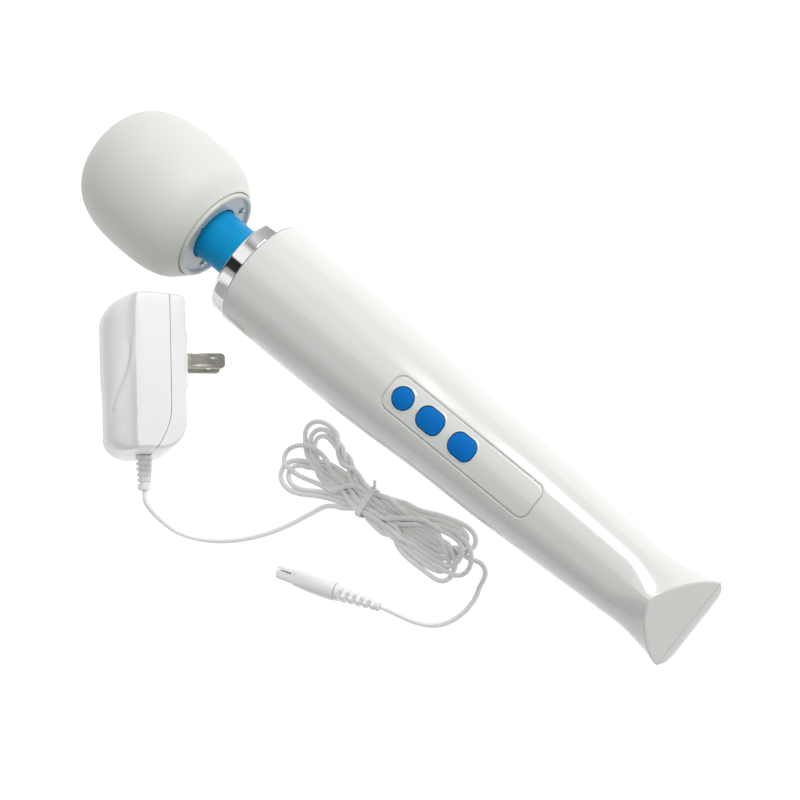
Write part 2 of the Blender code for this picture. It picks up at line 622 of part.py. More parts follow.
def build_head():
    outer = [(0, HEAD_WIDE_X + HEAD_DOME)] + dome(HEAD_RADIUS, HEAD_DOME, 85, 0, 9)
    outer += [(0.0303, 0.1138), (0.0294, 0.1082), (0.0278, 0.1036), (0.0256, 0.1004),
              (0.0234, 0.0979), (0.0216, 0.0960), (0.0212, 0.0964), (0.0212, 0.0986), (0.0230, 0.0989),
              (0.0251, 0.1040), (0.0265, 0.1100), (0.0270, HEAD_WIDE_X)]
    inner = dome(0.0270, HEAD_DOME - 0.0038, 0, 85, 7)[1:]
    profile = outer + inner + [(0, HEAD_WIDE_X + HEAD_DOME - 0.0038)]
    place(turned("head_cover", profile, closed=False, steps=32), FINISH["silicone"], WAND, (0, 0, 0), ALONG)
    place(turned("head_base_plate", [
        (0.0121, 0.1010), (0.0226, 0.1010), (0.0226, 0.0992), (0.0209, 0.0990), (0.0209, 0.0955),
        (0.0206, 0.0947), (0.0200, 0.0943), (0.0193, 0.0946), (0.0189, 0.0952), (0.0189, 0.0959),
        (0.0121, 0.0959)]), FINISH["plate"], WAND, (0, 0, 0), ALONG)
    core = dome(0.0266, HEAD_DOME - 0.0044, 80, 0, 6)
    core += [(0.0261, 0.1100), (0.0246, 0.1045), (0.0233, 0.1014), (BEARING_SEAT, 0.1014),
             (BEARING_SEAT, 0.1110), (0.0136, 0.1110), (0.0136, 0.1042), (0.0224, 0.1042), (0.0236, 0.1100),
             (0.0241, HEAD_WIDE_X), (0.0238, 0.1370), (0.0210, 0.1455), (0.0150, 0.1510), (0.0136, 0.1510),
             (0.0136, 0.1432), (BEARING_SEAT, 0.1432), (BEARING_SEAT, 0.1530), (0.0052, 0.1530),
             (0.0052, HEAD_WIDE_X + HEAD_DOME - 0.0046)]
    for name, side in (("head_core_upper", 1), ("head_core_lower", -1)):
        piece = place(turned(name, core, steps=TURN_STEPS), FINISH["dark"], WAND, (0, 0, 0), ALONG)
        reach = 0.04
        low = (0.09, -reach, GAP / 2 if side > 0 else -reach)
        high = (0.17, reach, reach if side > 0 else -GAP / 2)
        cut(piece, wand_cutter(box(name + "_half_cutter", low, high)), 'INTERSECT')
    for name, middle in (("bearing_rear", 0.1075), ("bearing_front", 0.1480)):
        place(turned(name, [
            (ECCENTRIC_SHAFT_RADIUS + GAP, middle + 0.003), (BEARING_RADIUS, middle + 0.003),
            (BEARING_RADIUS, middle - 0.003), (ECCENTRIC_SHAFT_RADIUS + GAP, middle - 0.003)], steps=28),
            FINISH["steel"], WAND, (0, 0, 0), ALONG)
    place(turned("eccentric_shaft", [
        (0, 0.1522), (ECCENTRIC_SHAFT_RADIUS, 0.1518), (ECCENTRIC_SHAFT_RADIUS, 0.1000), (0, 0.0996)],
        closed=False, steps=24), FINISH["steel"], WAND, (0, 0, 0), ALONG)
    build_weight()
    for index in range(3):
        angle = math.radians(90 + 120 * index)
        screw = turned("plate_screw_%d" % (index + 1),
                       [(0, 0.0956), (0.0010, 0.0956), (0.0016, 0.0952), (0.0017, 0.0947), (0, 0.0947)],
                       closed=False, steps=16)
        place(screw, FINISH["steel"], WAND, (0, 0.0160 * math.cos(angle), 0.0160 * math.sin(angle)), ALONG)


def build_weight():
    """Half a disc hung on one side of the head's shaft, so that its spin shakes the head."""
    outline = [(0.0200 * math.cos(math.radians(a)), 0.0200 * math.sin(math.radians(a)))
               for a in range(180, 361, 15)]
    outline += [(0.0085 * math.cos(math.radians(a)), 0.0085 * math.sin(math.radians(a)))
                for a in range(0, 181, 15)]
    bore = [((ECCENTRIC_SHAFT_RADIUS + GAP) * math.cos(math.radians(a)),
             (ECCENTRIC_SHAFT_RADIUS + GAP) * math.sin(math.radians(a))) for a in range(0, 360, 18)]
    weight = prism("eccentric_weight", [outline, bore], 0.1150, 0.1400)
    place(weight, FINISH["iron"], WAND, (0, 0, 0), (math.pi / 2, 0, math.pi / 2))


# ------------------------------------------------------------------ charger
def adapter_outline(squeeze, inset):
    """The adapter's outline, prongs to +X and top to +Y: squeeze draws the back flank inwards."""
    points = []
    points += arc((0.0136, 0.0295), 0.0028, 0, 90, 3)
    points += [(0.0085, 0.0328), (0.0017, 0.0336)]
    points += arc((-0.0046, 0.0216), 0.0118, 100, 175, 7)
    points += [(-0.0164, 0.0096), (-0.0162, 0.0), (-0.0156, -0.0105), (-0.0155, -0.0210)]
    points += arc((-0.0087, -0.0264), 0.0068, 180, 262, 5)
    points += arc((0.0047, -0.0217), 0.0117, 280, 358, 7)
    points = [(p - math.copysign(min(inset, abs(p)), p), q - math.copysign(min(inset, abs(q)), q))
              for p, q in points]
    flank = -0.0038
    return [(p if p > flank else flank + (p - flank) * squeeze, q) for p, q in points]


def adapter_block(name):
    """The whole adapter as stacked outlines: rounded edges, and a back flank that tapers."""
    layers = (              # height as a share of the width, edge inset, flank squeeze
        (0.0, 1.0, 0.10), (0.025, 0.35, 0.16), (0.08, 0.0, 0.30), (0.20, 0.0, 0.78), (0.34, 0.0, 1.0),
        (0.66, 0.0, 1.0), (0.80, 0.0, 0.78), (0.92, 0.0, 0.30), (0.975, 0.35, 0.16), (1.0, 1.0, 0.10),
    )
    builder = bmesh.new()
    rows = []
    for height, edge, squeeze in layers:
        outline = adapter_outline(squeeze, edge * ADAPTER_EDGE * 0.5)
        rows.append([builder.verts.new((p, q, height * ADAPTER_WIDTH)) for p, q in outline])
    for near, far in zip(rows, rows[1:]):
        for i in range(len(near)):
            j = (i + 1) % len(near)
            builder.faces.new((near[i], near[j], far[j], far[i]))
    builder.faces.new(rows[0])
    builder.faces.new(rows[-1])
    return finish_mesh(name, builder, 28.0)


def adapter_cutter(item, location=(0, 0, 0)):
    place(item, None, ADAPTER, location)
    return as_cutter(item)


def build_adapter():
    wide = 0.06
    case = place(adapter_block("adapter_back_case"), FINISH["white"], ADAPTER)
    cover = place(adapter_block("adapter_wall_cover"), FINISH["white"], ADAPTER)
    seam = ADAPTER_SEAM
    cut(case, adapter_cutter(box("case_half_cutter", (-wide, -wide, -0.01), (seam - GAP / 2, wide, wide))),
        'INTERSECT')
    cut(cover, adapter_cutter(box("cover_half_cutter", (seam + GAP / 2, -wide, -0.01), (wide, wide, wide))),
        'INTERSECT')
    room = box("adapter_hollow_cutter", (-0.0084, -0.0256, 0.0060), (0.0142, 0.0256, 0.0360))
    hollow = adapter_cutter(room)
    cut(case, hollow)
    cut(cover, hollow)
    middle = ADAPTER_WIDTH / 2
    boss = adapter_cutter(box("prong_boss", (BOSS_P[0], PRONG_Q - 0.0130, middle - 0.0135),
                              (BOSS_P[1], PRONG_Q + 0.0130, middle + 0.0135), 0.0008))
    cut(cover, boss, 'UNION')
    face, root = BOSS_P[1], PRONG_ROOT_P
    for name, side in (("prong_left", -1), ("prong_right", 1)):
        height = middle + side * PRONG_SPREAD / 2
        tip = face + PRONG_LENGTH
        outline = [(root, PRONG_Q - PRONG_HALF_WIDTH)]
        outline += arc((tip - 0.0018, PRONG_Q - PRONG_HALF_WIDTH + 0.0018), 0.0018, 270, 360, 4)
        outline += arc((tip - 0.0018, PRONG_Q + PRONG_HALF_WIDTH - 0.0018), 0.0018, 0, 90, 4)
        outline += [(root, PRONG_Q + PRONG_HALF_WIDTH)]
        eye = arc((face + 0.0120, PRONG_Q), 0.0016, 0, 330, 11)
        blade = prism(name, [outline, eye], height - PRONG_THICK / 2, height + PRONG_THICK / 2)
        place(blade, FINISH["nickel"], ADAPTER)
        side_q, side_z = PRONG_HALF_WIDTH + GAP, PRONG_THICK / 2 + GAP
        slot = box(name + "_slot", (0.0100, PRONG_Q - side_q, height - side_z),
                   (0.0300, PRONG_Q + side_q, height + side_z))
        cut(cover, adapter_cutter(slot))
    place(box("adapter_board", (-0.0078, -0.0240, 0.0090), (0.0100, 0.0240, 0.0106)),
          FINISH["board"], ADAPTER)
    place(box("adapter_transformer", (-0.0070, -0.0090, 0.0109), (0.0092, 0.0120, 0.0290), 0.0008),
          FINISH["dark"], ADAPTER)
    build_relief("adapter_strain_relief", RELIEF_LENGTH, 0.0037, 0.0026, 4, ADAPTER,
                 (*RELIEF_BASE, middle), (math.pi / 2, 0, 0))


def build_relief(name, length, wide, narrow, ribs, parent, location, rotation):
    """A tapered strain relief with ribs: its thin end is up its own Z axis."""
    profile = [(0, length), (narrow, length)]
    pitch = length * 0.80 / ribs
    for i in range(ribs):
        top = length * 0.92 - i * pitch
        share = 1 - top / length
        radius = narrow + (wide - narrow) * share
        profile += [(radius, top), (radius * 0.78, top - pitch * 0.10),
                    (radius * 0.78, top - pitch * 0.42), (radius * 1.03, top - pitch * 0.52)]
    profile += [(wide, length * 0.04), (wide, 0), (0, 0)]
    place(turned(name, profile, closed=False, steps=12), FINISH["white"], parent, location, rotation)


def hank_half_width(along):
    """Half width of the tied hank at a distance from its tie: narrow there, a lobe each way."""
    centre, radius = HANK_FRONT if along >= 0 else HANK_REAR
    distance = abs(along)
    if distance <= centre:
        share = distance / centre
        return HANK_WAIST + (radius - HANK_WAIST) * share * share * (3 - 2 * share)
    return math.sqrt(max(radius ** 2 - (distance - centre) ** 2, 0.0))


def build_cord():
    front, rear = sum(HANK_FRONT), -sum(HANK_REAR)
    count = 30
    stops = [rear + (front - rear) * (1 - math.cos(math.pi * i / count)) / 2 for i in range(count + 1)]
    upper = [(s, hank_half_width(s)) for s in stops[1:-1]]
    outline = [(rear, 0.0)] + [(s, -w) for s, w in upper] + [(front, 0.0)] + upper[::-1]
    hank = place(prism("cord_hank", [outline], HANK_Z[0], HANK_Z[1]), FINISH["cord"], HANK)
    notch = place(box("tie_notch_cutter", (-TIE_HALF_WIDTH - GAP, -0.012, -0.002),
                      (TIE_HALF_WIDTH + GAP, 0.012, 0.0012)), None, HANK)
    cut(hank, as_cutter(notch))
    side = HANK_WAIST + 0.0007
    low, high = 0.0001, HANK_Z[1] + GAP + TIE_THICK
    middle = (low + high) / 2
    half = (high - low) / 2
    ring = [rounded_outline(side + TIE_THICK, half, 0.0018, (0.0, 0.0), 4),
            rounded_outline(side, half - TIE_THICK, 0.0011, (0.0, 0.0), 4)]
    tie = prism("cord_tie", ring, -TIE_HALF_WIDTH, TIE_HALF_WIDTH)
    place(tie, FINISH["cord"], HANK, (0, 0, middle), (math.pi / 2, 0, math.pi / 2))
    place(wire("adapter_lead", smooth_route(ADAPTER_LEAD, 0.0052), CORD_RADIUS), FINISH["cord"], None)
    place(wire("plug_lead", smooth_route(PLUG_LEAD, 0.0048), CORD_RADIUS), FINISH["cord"], None)


def build_plug():
    build_relief("plug_strain_relief", PLUG_RELIEF, 0.0040, 0.0021, 5, PLUG,
                 (PLUG_RELIEF, 0, PLUG_HEIGHT), (0, -math.pi / 2, 0))
    start = PLUG_RELIEF + GAP
    sections = (            # share of the length, half width, half height, section power
        (0.0, 0.0040, 0.0040, 2.0), (0.05, 0.0043, 0.0043, 2.0), (0.25, 0.0044, 0.0043, 2.2),
        (0.50, 0.0041, 0.0039, 2.4), (0.66, 0.0036, 0.0031, 3.0), (0.71, 0.0031, 0.0026, 4.0),
        (0.97, 0.0030, 0.0025, 4.0), (1.0, 0.0027, 0.0022, 4.0),
    )
    rings = []
    for share, half_width, half_height, power in sections:
        ring = []
        for i in range(20):
            angle = 2 * math.pi * i / 20
            c, s = math.cos(angle), math.sin(angle)
            ring.append((start + share * PLUG_BODY,
                         math.copysign(half_width * abs(c) ** (2 / power), c),
                         PLUG_HEIGHT + math.copysign(half_height * abs(s) ** (2 / power), s)))
        rings.append(ring)
    body = place(loft("plug_body", rings), FINISH["white"], PLUG)
    tip = start + PLUG_BODY
    bore = upright("plug_bore_cutter", 0.0016, -0.0080, 0.0020, steps=16)
    place(bore, None, PLUG, (tip, 0, PLUG_HEIGHT), ALONG)
    cut(body, as_cutter(bore))
    pin = upright("plug_pin", 0.0007, -0.0077, -0.0010, steps=12)
    place(pin, FINISH["nickel"], PLUG, (tip, 0, PLUG_HEIGHT), ALONG)


clear_scene()
PARTS = new_collection(NAME)
CUTTERS = new_collection(NAME + "_cutters")
FINISH = {
    "body": material("gloss_white_body", (0.83, 0.83, 0.81), 0.18),
    "panel": material("gloss_white_panel", (0.83, 0.83, 0.81), 0.20),
    "button": material("blue_button", (0.0, 0.16, 0.60), 0.35),
    "blue": material("blue_boot", (0.0, 0.28, 0.66), 0.38),
    "silicone": material("pale_silicone", (0.78, 0.78, 0.75), 0.50),
    "plate": material("cream_plate", (0.76, 0.76, 0.71), 0.35),
    "chrome": material("chrome", (0.90, 0.90, 0.91), 0.05, 1.0),
    "steel": material("steel", (0.56, 0.57, 0.58), 0.35, 1.0),
    "iron": material("sintered_iron", (0.20, 0.20, 0.21), 0.50, 0.9),
    "copper": material("copper_winding", (0.72, 0.33, 0.16), 0.35, 1.0),
    "brass": material("brass", (0.78, 0.60, 0.28), 0.30, 1.0),
    "nickel": material("nickel_blade", (0.40, 0.39, 0.34), 0.30, 1.0),
    "rubber": material("black_rubber", (0.03, 0.03, 0.03), 0.70),
    "dark": material("grey_plastic", (0.18, 0.18, 0.19), 0.50),
    "board": material("board_green", (0.02, 0.16, 0.07), 0.45),
    "cell": material("cell_wrap", (0.05, 0.22, 0.45), 0.40),
    "led": material("led_clear", (0.75, 0.85, 0.90), 0.15),
    "white": material("white_adapter", (0.86, 0.86, 0.86), 0.30),
    "cord": material("white_cord", (0.80, 0.80, 0.79), 0.42),
}
WAND = frame_empty("wand_frame", (ORIGIN_SHIFT, 0, AXIS_HEIGHT), (0, -PITCH, 0))
ADAPTER = frame_empty("adapter_frame", ADAPTER_PLACE, (0, ADAPTER_ROLL, ADAPTER_TURN))
HANK = frame_empty("hank_frame", (*HANK_CENTRE, 0), (0, 0, HANK_TURN))
PLUG = frame_empty("plug_frame", (*PLUG_REAR, 0), (0, 0, PLUG_TURN))

build_shells()
build_panel()
build_buttons()
build_electronics()
build_motor()
build_neck()
build_head()
build_adapter()
build_cord()
build_plug()
bpy.context.view_layer.update()
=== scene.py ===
"""Looks of a cordless wand massager and its wall charger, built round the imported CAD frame.

The wand lies on its back on a pale floor, head towards +X, and the charger lies on its +Y side.
Pieces of the wand are shaped in its own frame (x along it, z out of the button panel) and then
turned by WAND into the row frame; pieces of the charger use ADAPTER, HANK and PLUG in the same way.
"""
import json
import math

import bmesh
import bpy
import numpy as np
from mathutils import Matrix, Vector


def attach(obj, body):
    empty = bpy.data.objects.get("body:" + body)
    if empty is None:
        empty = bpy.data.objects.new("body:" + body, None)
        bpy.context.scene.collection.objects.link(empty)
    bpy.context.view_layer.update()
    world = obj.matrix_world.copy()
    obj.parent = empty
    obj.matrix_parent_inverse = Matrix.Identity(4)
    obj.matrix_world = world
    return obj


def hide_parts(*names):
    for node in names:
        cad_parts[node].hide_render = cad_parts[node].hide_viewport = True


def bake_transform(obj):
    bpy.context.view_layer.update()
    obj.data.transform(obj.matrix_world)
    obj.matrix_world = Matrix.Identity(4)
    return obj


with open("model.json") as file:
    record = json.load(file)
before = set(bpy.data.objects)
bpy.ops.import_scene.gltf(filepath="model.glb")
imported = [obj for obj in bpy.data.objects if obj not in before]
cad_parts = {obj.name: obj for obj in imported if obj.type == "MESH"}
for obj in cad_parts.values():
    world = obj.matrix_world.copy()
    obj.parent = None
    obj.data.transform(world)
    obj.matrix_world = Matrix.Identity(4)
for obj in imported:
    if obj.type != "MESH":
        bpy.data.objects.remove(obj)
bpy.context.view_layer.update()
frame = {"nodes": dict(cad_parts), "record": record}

GAP = 0.0003                # room round a moving piece
SEAM = 0.00010              # the visible joint between fixed pieces

# ---- frames of the sub-assemblies, as in the CAD
PITCH = math.radians(2.17)
WAND = Matrix.Translation((0.00288, 0, 0.02604)) @ Matrix.Rotation(-PITCH, 4, 'Y')
ADAPTER = (Matrix.Translation((0.0967, 0.0753, 0.0084)) @ Matrix.Rotation(math.radians(-138.0), 4, 'Z')
           @ Matrix.Rotation(math.radians(34.0), 4, 'Y'))
HANK = Matrix.Translation((-0.0195, 0.0482, 0)) @ Matrix.Rotation(math.radians(5.8), 4, 'Z')
PLUG = Matrix.Translation((-0.0518, 0.0776, 0.0045)) @ Matrix.Rotation(math.radians(20.8), 4, 'Z')

# ---- camera
AIM = Vector((-0.0099, 0.0044, 0.0219))
TOWARD_CAMERA = Vector((-0.3567, -0.1155, 0.9271)).normalized()
PICTURE_UP = Vector((0.6004, -0.7886, 0.1328)).normalized()
CAMERA_DISTANCE = 1.2
LENS = 132.0

# ---- cord
CORD_RADIUS = 0.0011
ADAPTER_LEAD = (
    (0.0550, 0.1029, 0.0253), (0.0519, 0.1061, 0.0248), (0.0480, 0.1081, 0.0214),
    (0.0448, 0.1097, 0.0150), (0.0408, 0.1106, 0.0085), (0.0361, 0.1096, 0.0036),
    (0.0305, 0.1068, 0.0014), (0.0233, 0.1019, 0.0012), (0.0172, 0.0963, 0.0012),
    (0.0116, 0.0900, 0.0012), (0.0067, 0.0832, 0.0012), (0.0026, 0.0760, 0.0012),
    (-0.0013, 0.0680, 0.0013), (-0.0064, 0.0607, 0.0018),
)
PLUG_LEAD = (
    (-0.0728, 0.0388, 0.0034), (-0.0766, 0.0410, 0.0024), (-0.0794, 0.0448, 0.0014),
    (-0.0810, 0.0505, 0.0012), (-0.0807, 0.0575, 0.0012), (-0.0782, 0.0643, 0.0012),
    (-0.0739, 0.0695, 0.0014), (-0.0681, 0.0729, 0.0020), (-0.0616, 0.0750, 0.0032),
    (-0.0566, 0.0762, 0.0042), (-0.0520, 0.0775, 0.0045),
)
# Loops of the hank: direction in degrees from the hank's line, reach, half width.
FRONT_LOOPS = ((12, 0.0425, 0.0074), (11, 0.0390, 0.0060), (-13, 0.0365, 0.0064),
               (-15, 0.0400, 0.0066), (-15, 0.0440, 0.0074), (3, 0.0450, 0.0056))
REAR_LOOPS = ((-9, 0.0500, 0.0080), (-10, 0.0450, 0.0064), (5, 0.0490, 0.0066),
              (3, 0.0440, 0.0058), (-3, 0.0525, 0.0082), (-4, 0.0475, 0.0066))
# Places of the 13 passes through the tie, across it, in three layers.
TIE_SLOTS = ((0.0044, -0.0044, 0.0022, -0.0022, 0.0000), (-0.0033, 0.0033, -0.0011, 0.0011),
             (-0.0033, 0.0033, 0.0011, -0.0011))
TIE_HALF_LENGTH = 0.0036
TIE_INNER_HALF = 0.0061
TIE_INNER_Z = (0.0009, 0.0080)

# ---- handle: station x, half width, height above the axis, depth below the axis, as in the CAD
HANDLE = (
    (-0.1650, 0.0209, 0.0175, 0.01990),
    (-0.1570, 0.0188, 0.0172, 0.01830),
    (-0.1450, 0.0170, 0.0170, 0.01690),
    (-0.1300, 0.0175, 0.0175, 0.01750),
    (-0.1050, 0.0190, 0.0190, 0.01900),
    (-0.0720, 0.0208, 0.0208, 0.02080),
    (-0.0400, 0.0218, 0.0218, 0.02180),
    (-0.0100, 0.0235, 0.0235, 0.02350),
    (0.0100, 0.0240, 0.0240, 0.02400),
    (0.0668, 0.0244, 0.0244, 0.02440),
)
FOOT_X = HANDLE[0][0]
SHELL_FRONT_X = HANDLE[-1][0]
WALL = 0.0022
FOOT_EDGE = 0.0009
CREASE_HEIGHT = -0.0060
CREASE_POWER = 1.38
CREASE_END_X = -0.1340
FACET_CORNER_X = -0.1640
FACET_LEAN = 0.553
HEEL_ROUND = 47.6
PARTING = 0.00008
PANEL_X = (-0.0916, -0.0150)
PANEL_MIDDLE = (sum(PANEL_X) / 2, 0.0)
PANEL_HALF = ((PANEL_X[1] - PANEL_X[0]) / 2, 0.0079)
PANEL_CORNER = 0.0042
PANEL_THICK = 0.0018
WINDOW_HALF = (PANEL_HALF[0] + SEAM, PANEL_HALF[1] + SEAM)
WINDOW_CORNER = PANEL_CORNER + SEAM
WINDOW_EDGE = 0.0008
PANEL_EDGE = 0.0006
BUTTONS = (                 # name, body, x, half length, half width, corner radius
    ("power_button", "power_key", -0.0225, 0.0047, 0.0047, 0.0047),
    ("pattern_button", "pattern_key", -0.0370, 0.0060, 0.0049, 0.0041),
    ("speed_button", "speed_key", -0.0540, 0.0060, 0.0049, 0.0041),
)
RIM_HEIGHT = 0.00022
RIM_WIDTH = 0.0009
SCREW_SINKS = ((0.0602, 0.0130), (0.0602, -0.0130), (-0.1560, 0.0))
SCREW_SINK_RADIUS = 0.0032
SOCKET_X = -0.1445
SOCKET_HALF = (0.0064 + GAP, 0.0047 + GAP)

# ---- collar, neck and head, along the wand's axis
COLLAR_X = (0.0671, 0.0742)
COLLAR_RADIUS = 0.0244
COLLAR_EDGE = 0.0018
NECK_HOLE = 0.0125
BOOT_RADIUS = 0.0118
BOOT_BORE = 0.0097
BOOT_FLANGE = 0.0160
BOOT_FOOT_X = 0.0720
BOOT_WAIST = 0.0005
BOOT_X = (0.0694, 0.0988)
BOOT_BENDS = (0.0738, 0.0845, 0.0952)
HEAD_WIDE_X = 0.1195
HEAD_RADIUS = 0.0306
HEAD_DOME = 0.0398
HEAD_POWER = 3.0
PLATE_SCREW_RING = 0.0160

# ---- charger
ADAPTER_WIDTH = 0.0420
ADAPTER_SEAM = 0.0096
BOSS_P = (0.0152, 0.0180)
PRONG_HALF_WIDTH = 0.00318
PRONG_THICK = 0.0015
PRONG_SPREAD = 0.0127
PRONG_LENGTH = 0.0170
PRONG_EYE = 0.0120
PRONG_EYE_RADIUS = 0.0016
PRONG_Q = 0.0062
PRONG_ROOT_P = 0.0122
RELIEF_BASE = (0.0008, -0.0336)
RELIEF_LENGTH = 0.0145
PLUG_RELIEF = 0.0206
PLUG_BODY = 0.0274
PLUG_BORE = 0.0016


# ------------------------------------------------------------------ camera, light and floor
def build_camera():
    camera = bpy.data.objects.new("camera", bpy.data.cameras.new("camera"))
    right = PICTURE_UP.cross(TOWARD_CAMERA).normalized()
    up = TOWARD_CAMERA.cross(right)
    turn = Matrix((right, up, TOWARD_CAMERA)).transposed()
    camera.matrix_world = Matrix.Translation(AIM + CAMERA_DISTANCE * TOWARD_CAMERA) @ turn.to_4x4()
    camera.data.lens = LENS
    camera.data.sensor_width = 36.0
    camera.data.clip_start = 0.05
    bpy.context.scene.collection.objects.link(camera)
    bpy.context.scene.camera = camera


def area_light(name, place, target, size, power):
    data = bpy.data.lights.new(name, 'AREA')
    data.energy = power
    data.size = size
    light = bpy.data.objects.new(name, data)
    light.location = place
    light.rotation_euler = (Vector(target) - Vector(place)).to_track_quat('-Z', 'Y').to_euler()
    bpy.context.scene.collection.objects.link(light)
    return light


def build_lights():
    """A key from the -Y side, a dim world, and a banded studio that only glossy rays see."""
    area_light("key", (-0.05, -1.10, 0.95), (0, 0, 0.02), 0.55, 12.6)
    fill = area_light("fill", (0.35, 0.05, 1.30), (0, 0.02, 0.02), 0.90, 2.0)
    fill.visible_glossy = False
    world = bpy.data.worlds.new("studio")
    bpy.context.scene.world = world
    world.use_nodes = True
    nodes, links = world.node_tree.nodes, world.node_tree.links
    nodes.clear()
    soft = nodes.new("ShaderNodeBackground")
    soft.inputs["Color"].default_value = (0.96, 1.0, 0.97, 1.0)
    soft.inputs["Strength"].default_value = 0.37
    bands = nodes.new("ShaderNodeBackground")
    bands.inputs["Strength"].default_value = 1.0
    path = nodes.new("ShaderNodeLightPath")
    coord = nodes.new("ShaderNodeTexCoord")
    split = nodes.new("ShaderNodeSeparateXYZ")
    ramp = nodes.new("ShaderNodeValToRGB")
    mix = nodes.new("ShaderNodeMixShader")
    out = nodes.new("ShaderNodeOutputWorld")
    stops = ((0.0, 0.35), (0.15, 0.75), (0.24, 0.30), (0.32, 0.95), (0.52, 1.0), (0.55, 0.02),
             (0.70, 0.03), (0.73, 0.40), (0.78, 0.50), (0.81, 1.0), (0.88, 0.95), (0.92, 0.40), (1.0, 0.45))
    ramp.color_ramp.elements[0].position = 0.0
    while len(ramp.color_ramp.elements) < len(stops):
        ramp.color_ramp.elements.new(0.5)
    for element, (position, value) in zip(ramp.color_ramp.elements, stops):
        element.position = position
        element.color = (value, value, value, 1.0)
    scale = nodes.new("ShaderNodeMapRange")
    scale.inputs["From Min"].default_value = -1.0
    links.new(coord.outputs["Generated"], split.inputs[0])
    links.new(split.outputs["Y"], scale.inputs["Value"])
    links.new(scale.outputs["Result"], ramp.inputs["Fac"])
    links.new(ramp.outputs["Color"], bands.inputs["Color"])
    links.new(path.outputs["Is Glossy Ray"], mix.inputs["Fac"])
    links.new(soft.outputs[0], mix.inputs[1])
    links.new(bands.outputs[0], mix.inputs[2])
    links.new(mix.outputs[0], out.inputs["Surface"])
    bpy.context.scene.view_settings.view_transform = 'Standard'


def build_floor():
    mesh = bpy.data.meshes.new("floor")
    reach = 4.0
    corners = [(-reach, -reach, 0), (reach, -reach, 0), (reach, reach, 0), (-reach, reach, 0)]
    mesh.from_pydata(corners, [], [(0, 1, 2, 3)])
    floor = bpy.data.objects.new("floor", mesh)
    bpy.context.scene.collection.objects.link(floor)
    finish = bpy.data.materials.new("pale_floor")
    finish.use_nodes = True
    shader = finish.node_tree.nodes["Principled BSDF"]
    shader.inputs["Base Color"].default_value = (0.22, 0.22, 0.22, 1)
    shader.inputs["Roughness"].default_value = 0.9
    shader.inputs["Specular IOR Level"].default_value = 0.0
    shader.inputs["Emission Color"].default_value = (1, 1, 1, 1)
    shader.inputs["Emission Strength"].default_value = 0.98
    mesh.materials.append(finish)


# ------------------------------------------------------------------ materials
def finish(name, colour, roughness, metallic=0.0, tint=0.03, tint_scale=40.0, grain=0.03,
           grain_scale=1500.0, rough_spread=0.04, **constants):
    """A procedural finish: slow colour drift, uneven gloss and a fine moulded or brushed grain."""
    made = bpy.data.materials.new(name)
    made.use_nodes = True
    nodes, links = made.node_tree.nodes, made.node_tree.links
    shader = nodes["Principled BSDF"]
    coord = nodes.new("ShaderNodeTexCoord")
    slow = nodes.new("ShaderNodeTexNoise")
    slow.inputs["Scale"].default_value = tint_scale
    slow.inputs["Detail"].default_value = 3.0
    links.new(coord.outputs["Object"], slow.inputs["Vector"])
    ramp = nodes.new("ShaderNodeValToRGB")
    ramp.color_ramp.elements[0].position = 0.3
    ramp.color_ramp.elements[1].position = 0.7
    ramp.color_ramp.elements[0].color = (*[c * (1 - tint) for c in colour], 1)
    ramp.color_ramp.elements[1].color = (*[min(c * (1 + tint), 1) for c in colour], 1)
    links.new(slow.outputs["Fac"], ramp.inputs["Fac"])
    links.new(ramp.outputs["Color"], shader.inputs["Base Color"])
    fine = nodes.new("ShaderNodeTexNoise")
    fine.inputs["Scale"].default_value = grain_scale
    fine.inputs["Detail"].default_value = 4.0
    links.new(coord.outputs["Object"], fine.inputs["Vector"])
    uneven = nodes.new("ShaderNodeMapRange")
    uneven.inputs["To Min"].default_value = max(roughness - rough_spread, 0.02)
    uneven.inputs["To Max"].default_value = roughness + rough_spread
    links.new(slow.outputs["Fac"], uneven.inputs["Value"])
    links.new(uneven.outputs["Result"], shader.inputs["Roughness"])
    bump = nodes.new("ShaderNodeBump")
    bump.inputs["Strength"].default_value = grain
    bump.inputs["Distance"].default_value = 0.0002
    links.new(fine.outputs["Fac"], bump.inputs["Height"])
    links.new(bump.outputs["Normal"], shader.inputs["Normal"])
    shader.inputs["Metallic"].default_value = metallic
    for socket, value in constants.items():
        shader.inputs[socket.replace("_", " ")].default_value = value
    return made


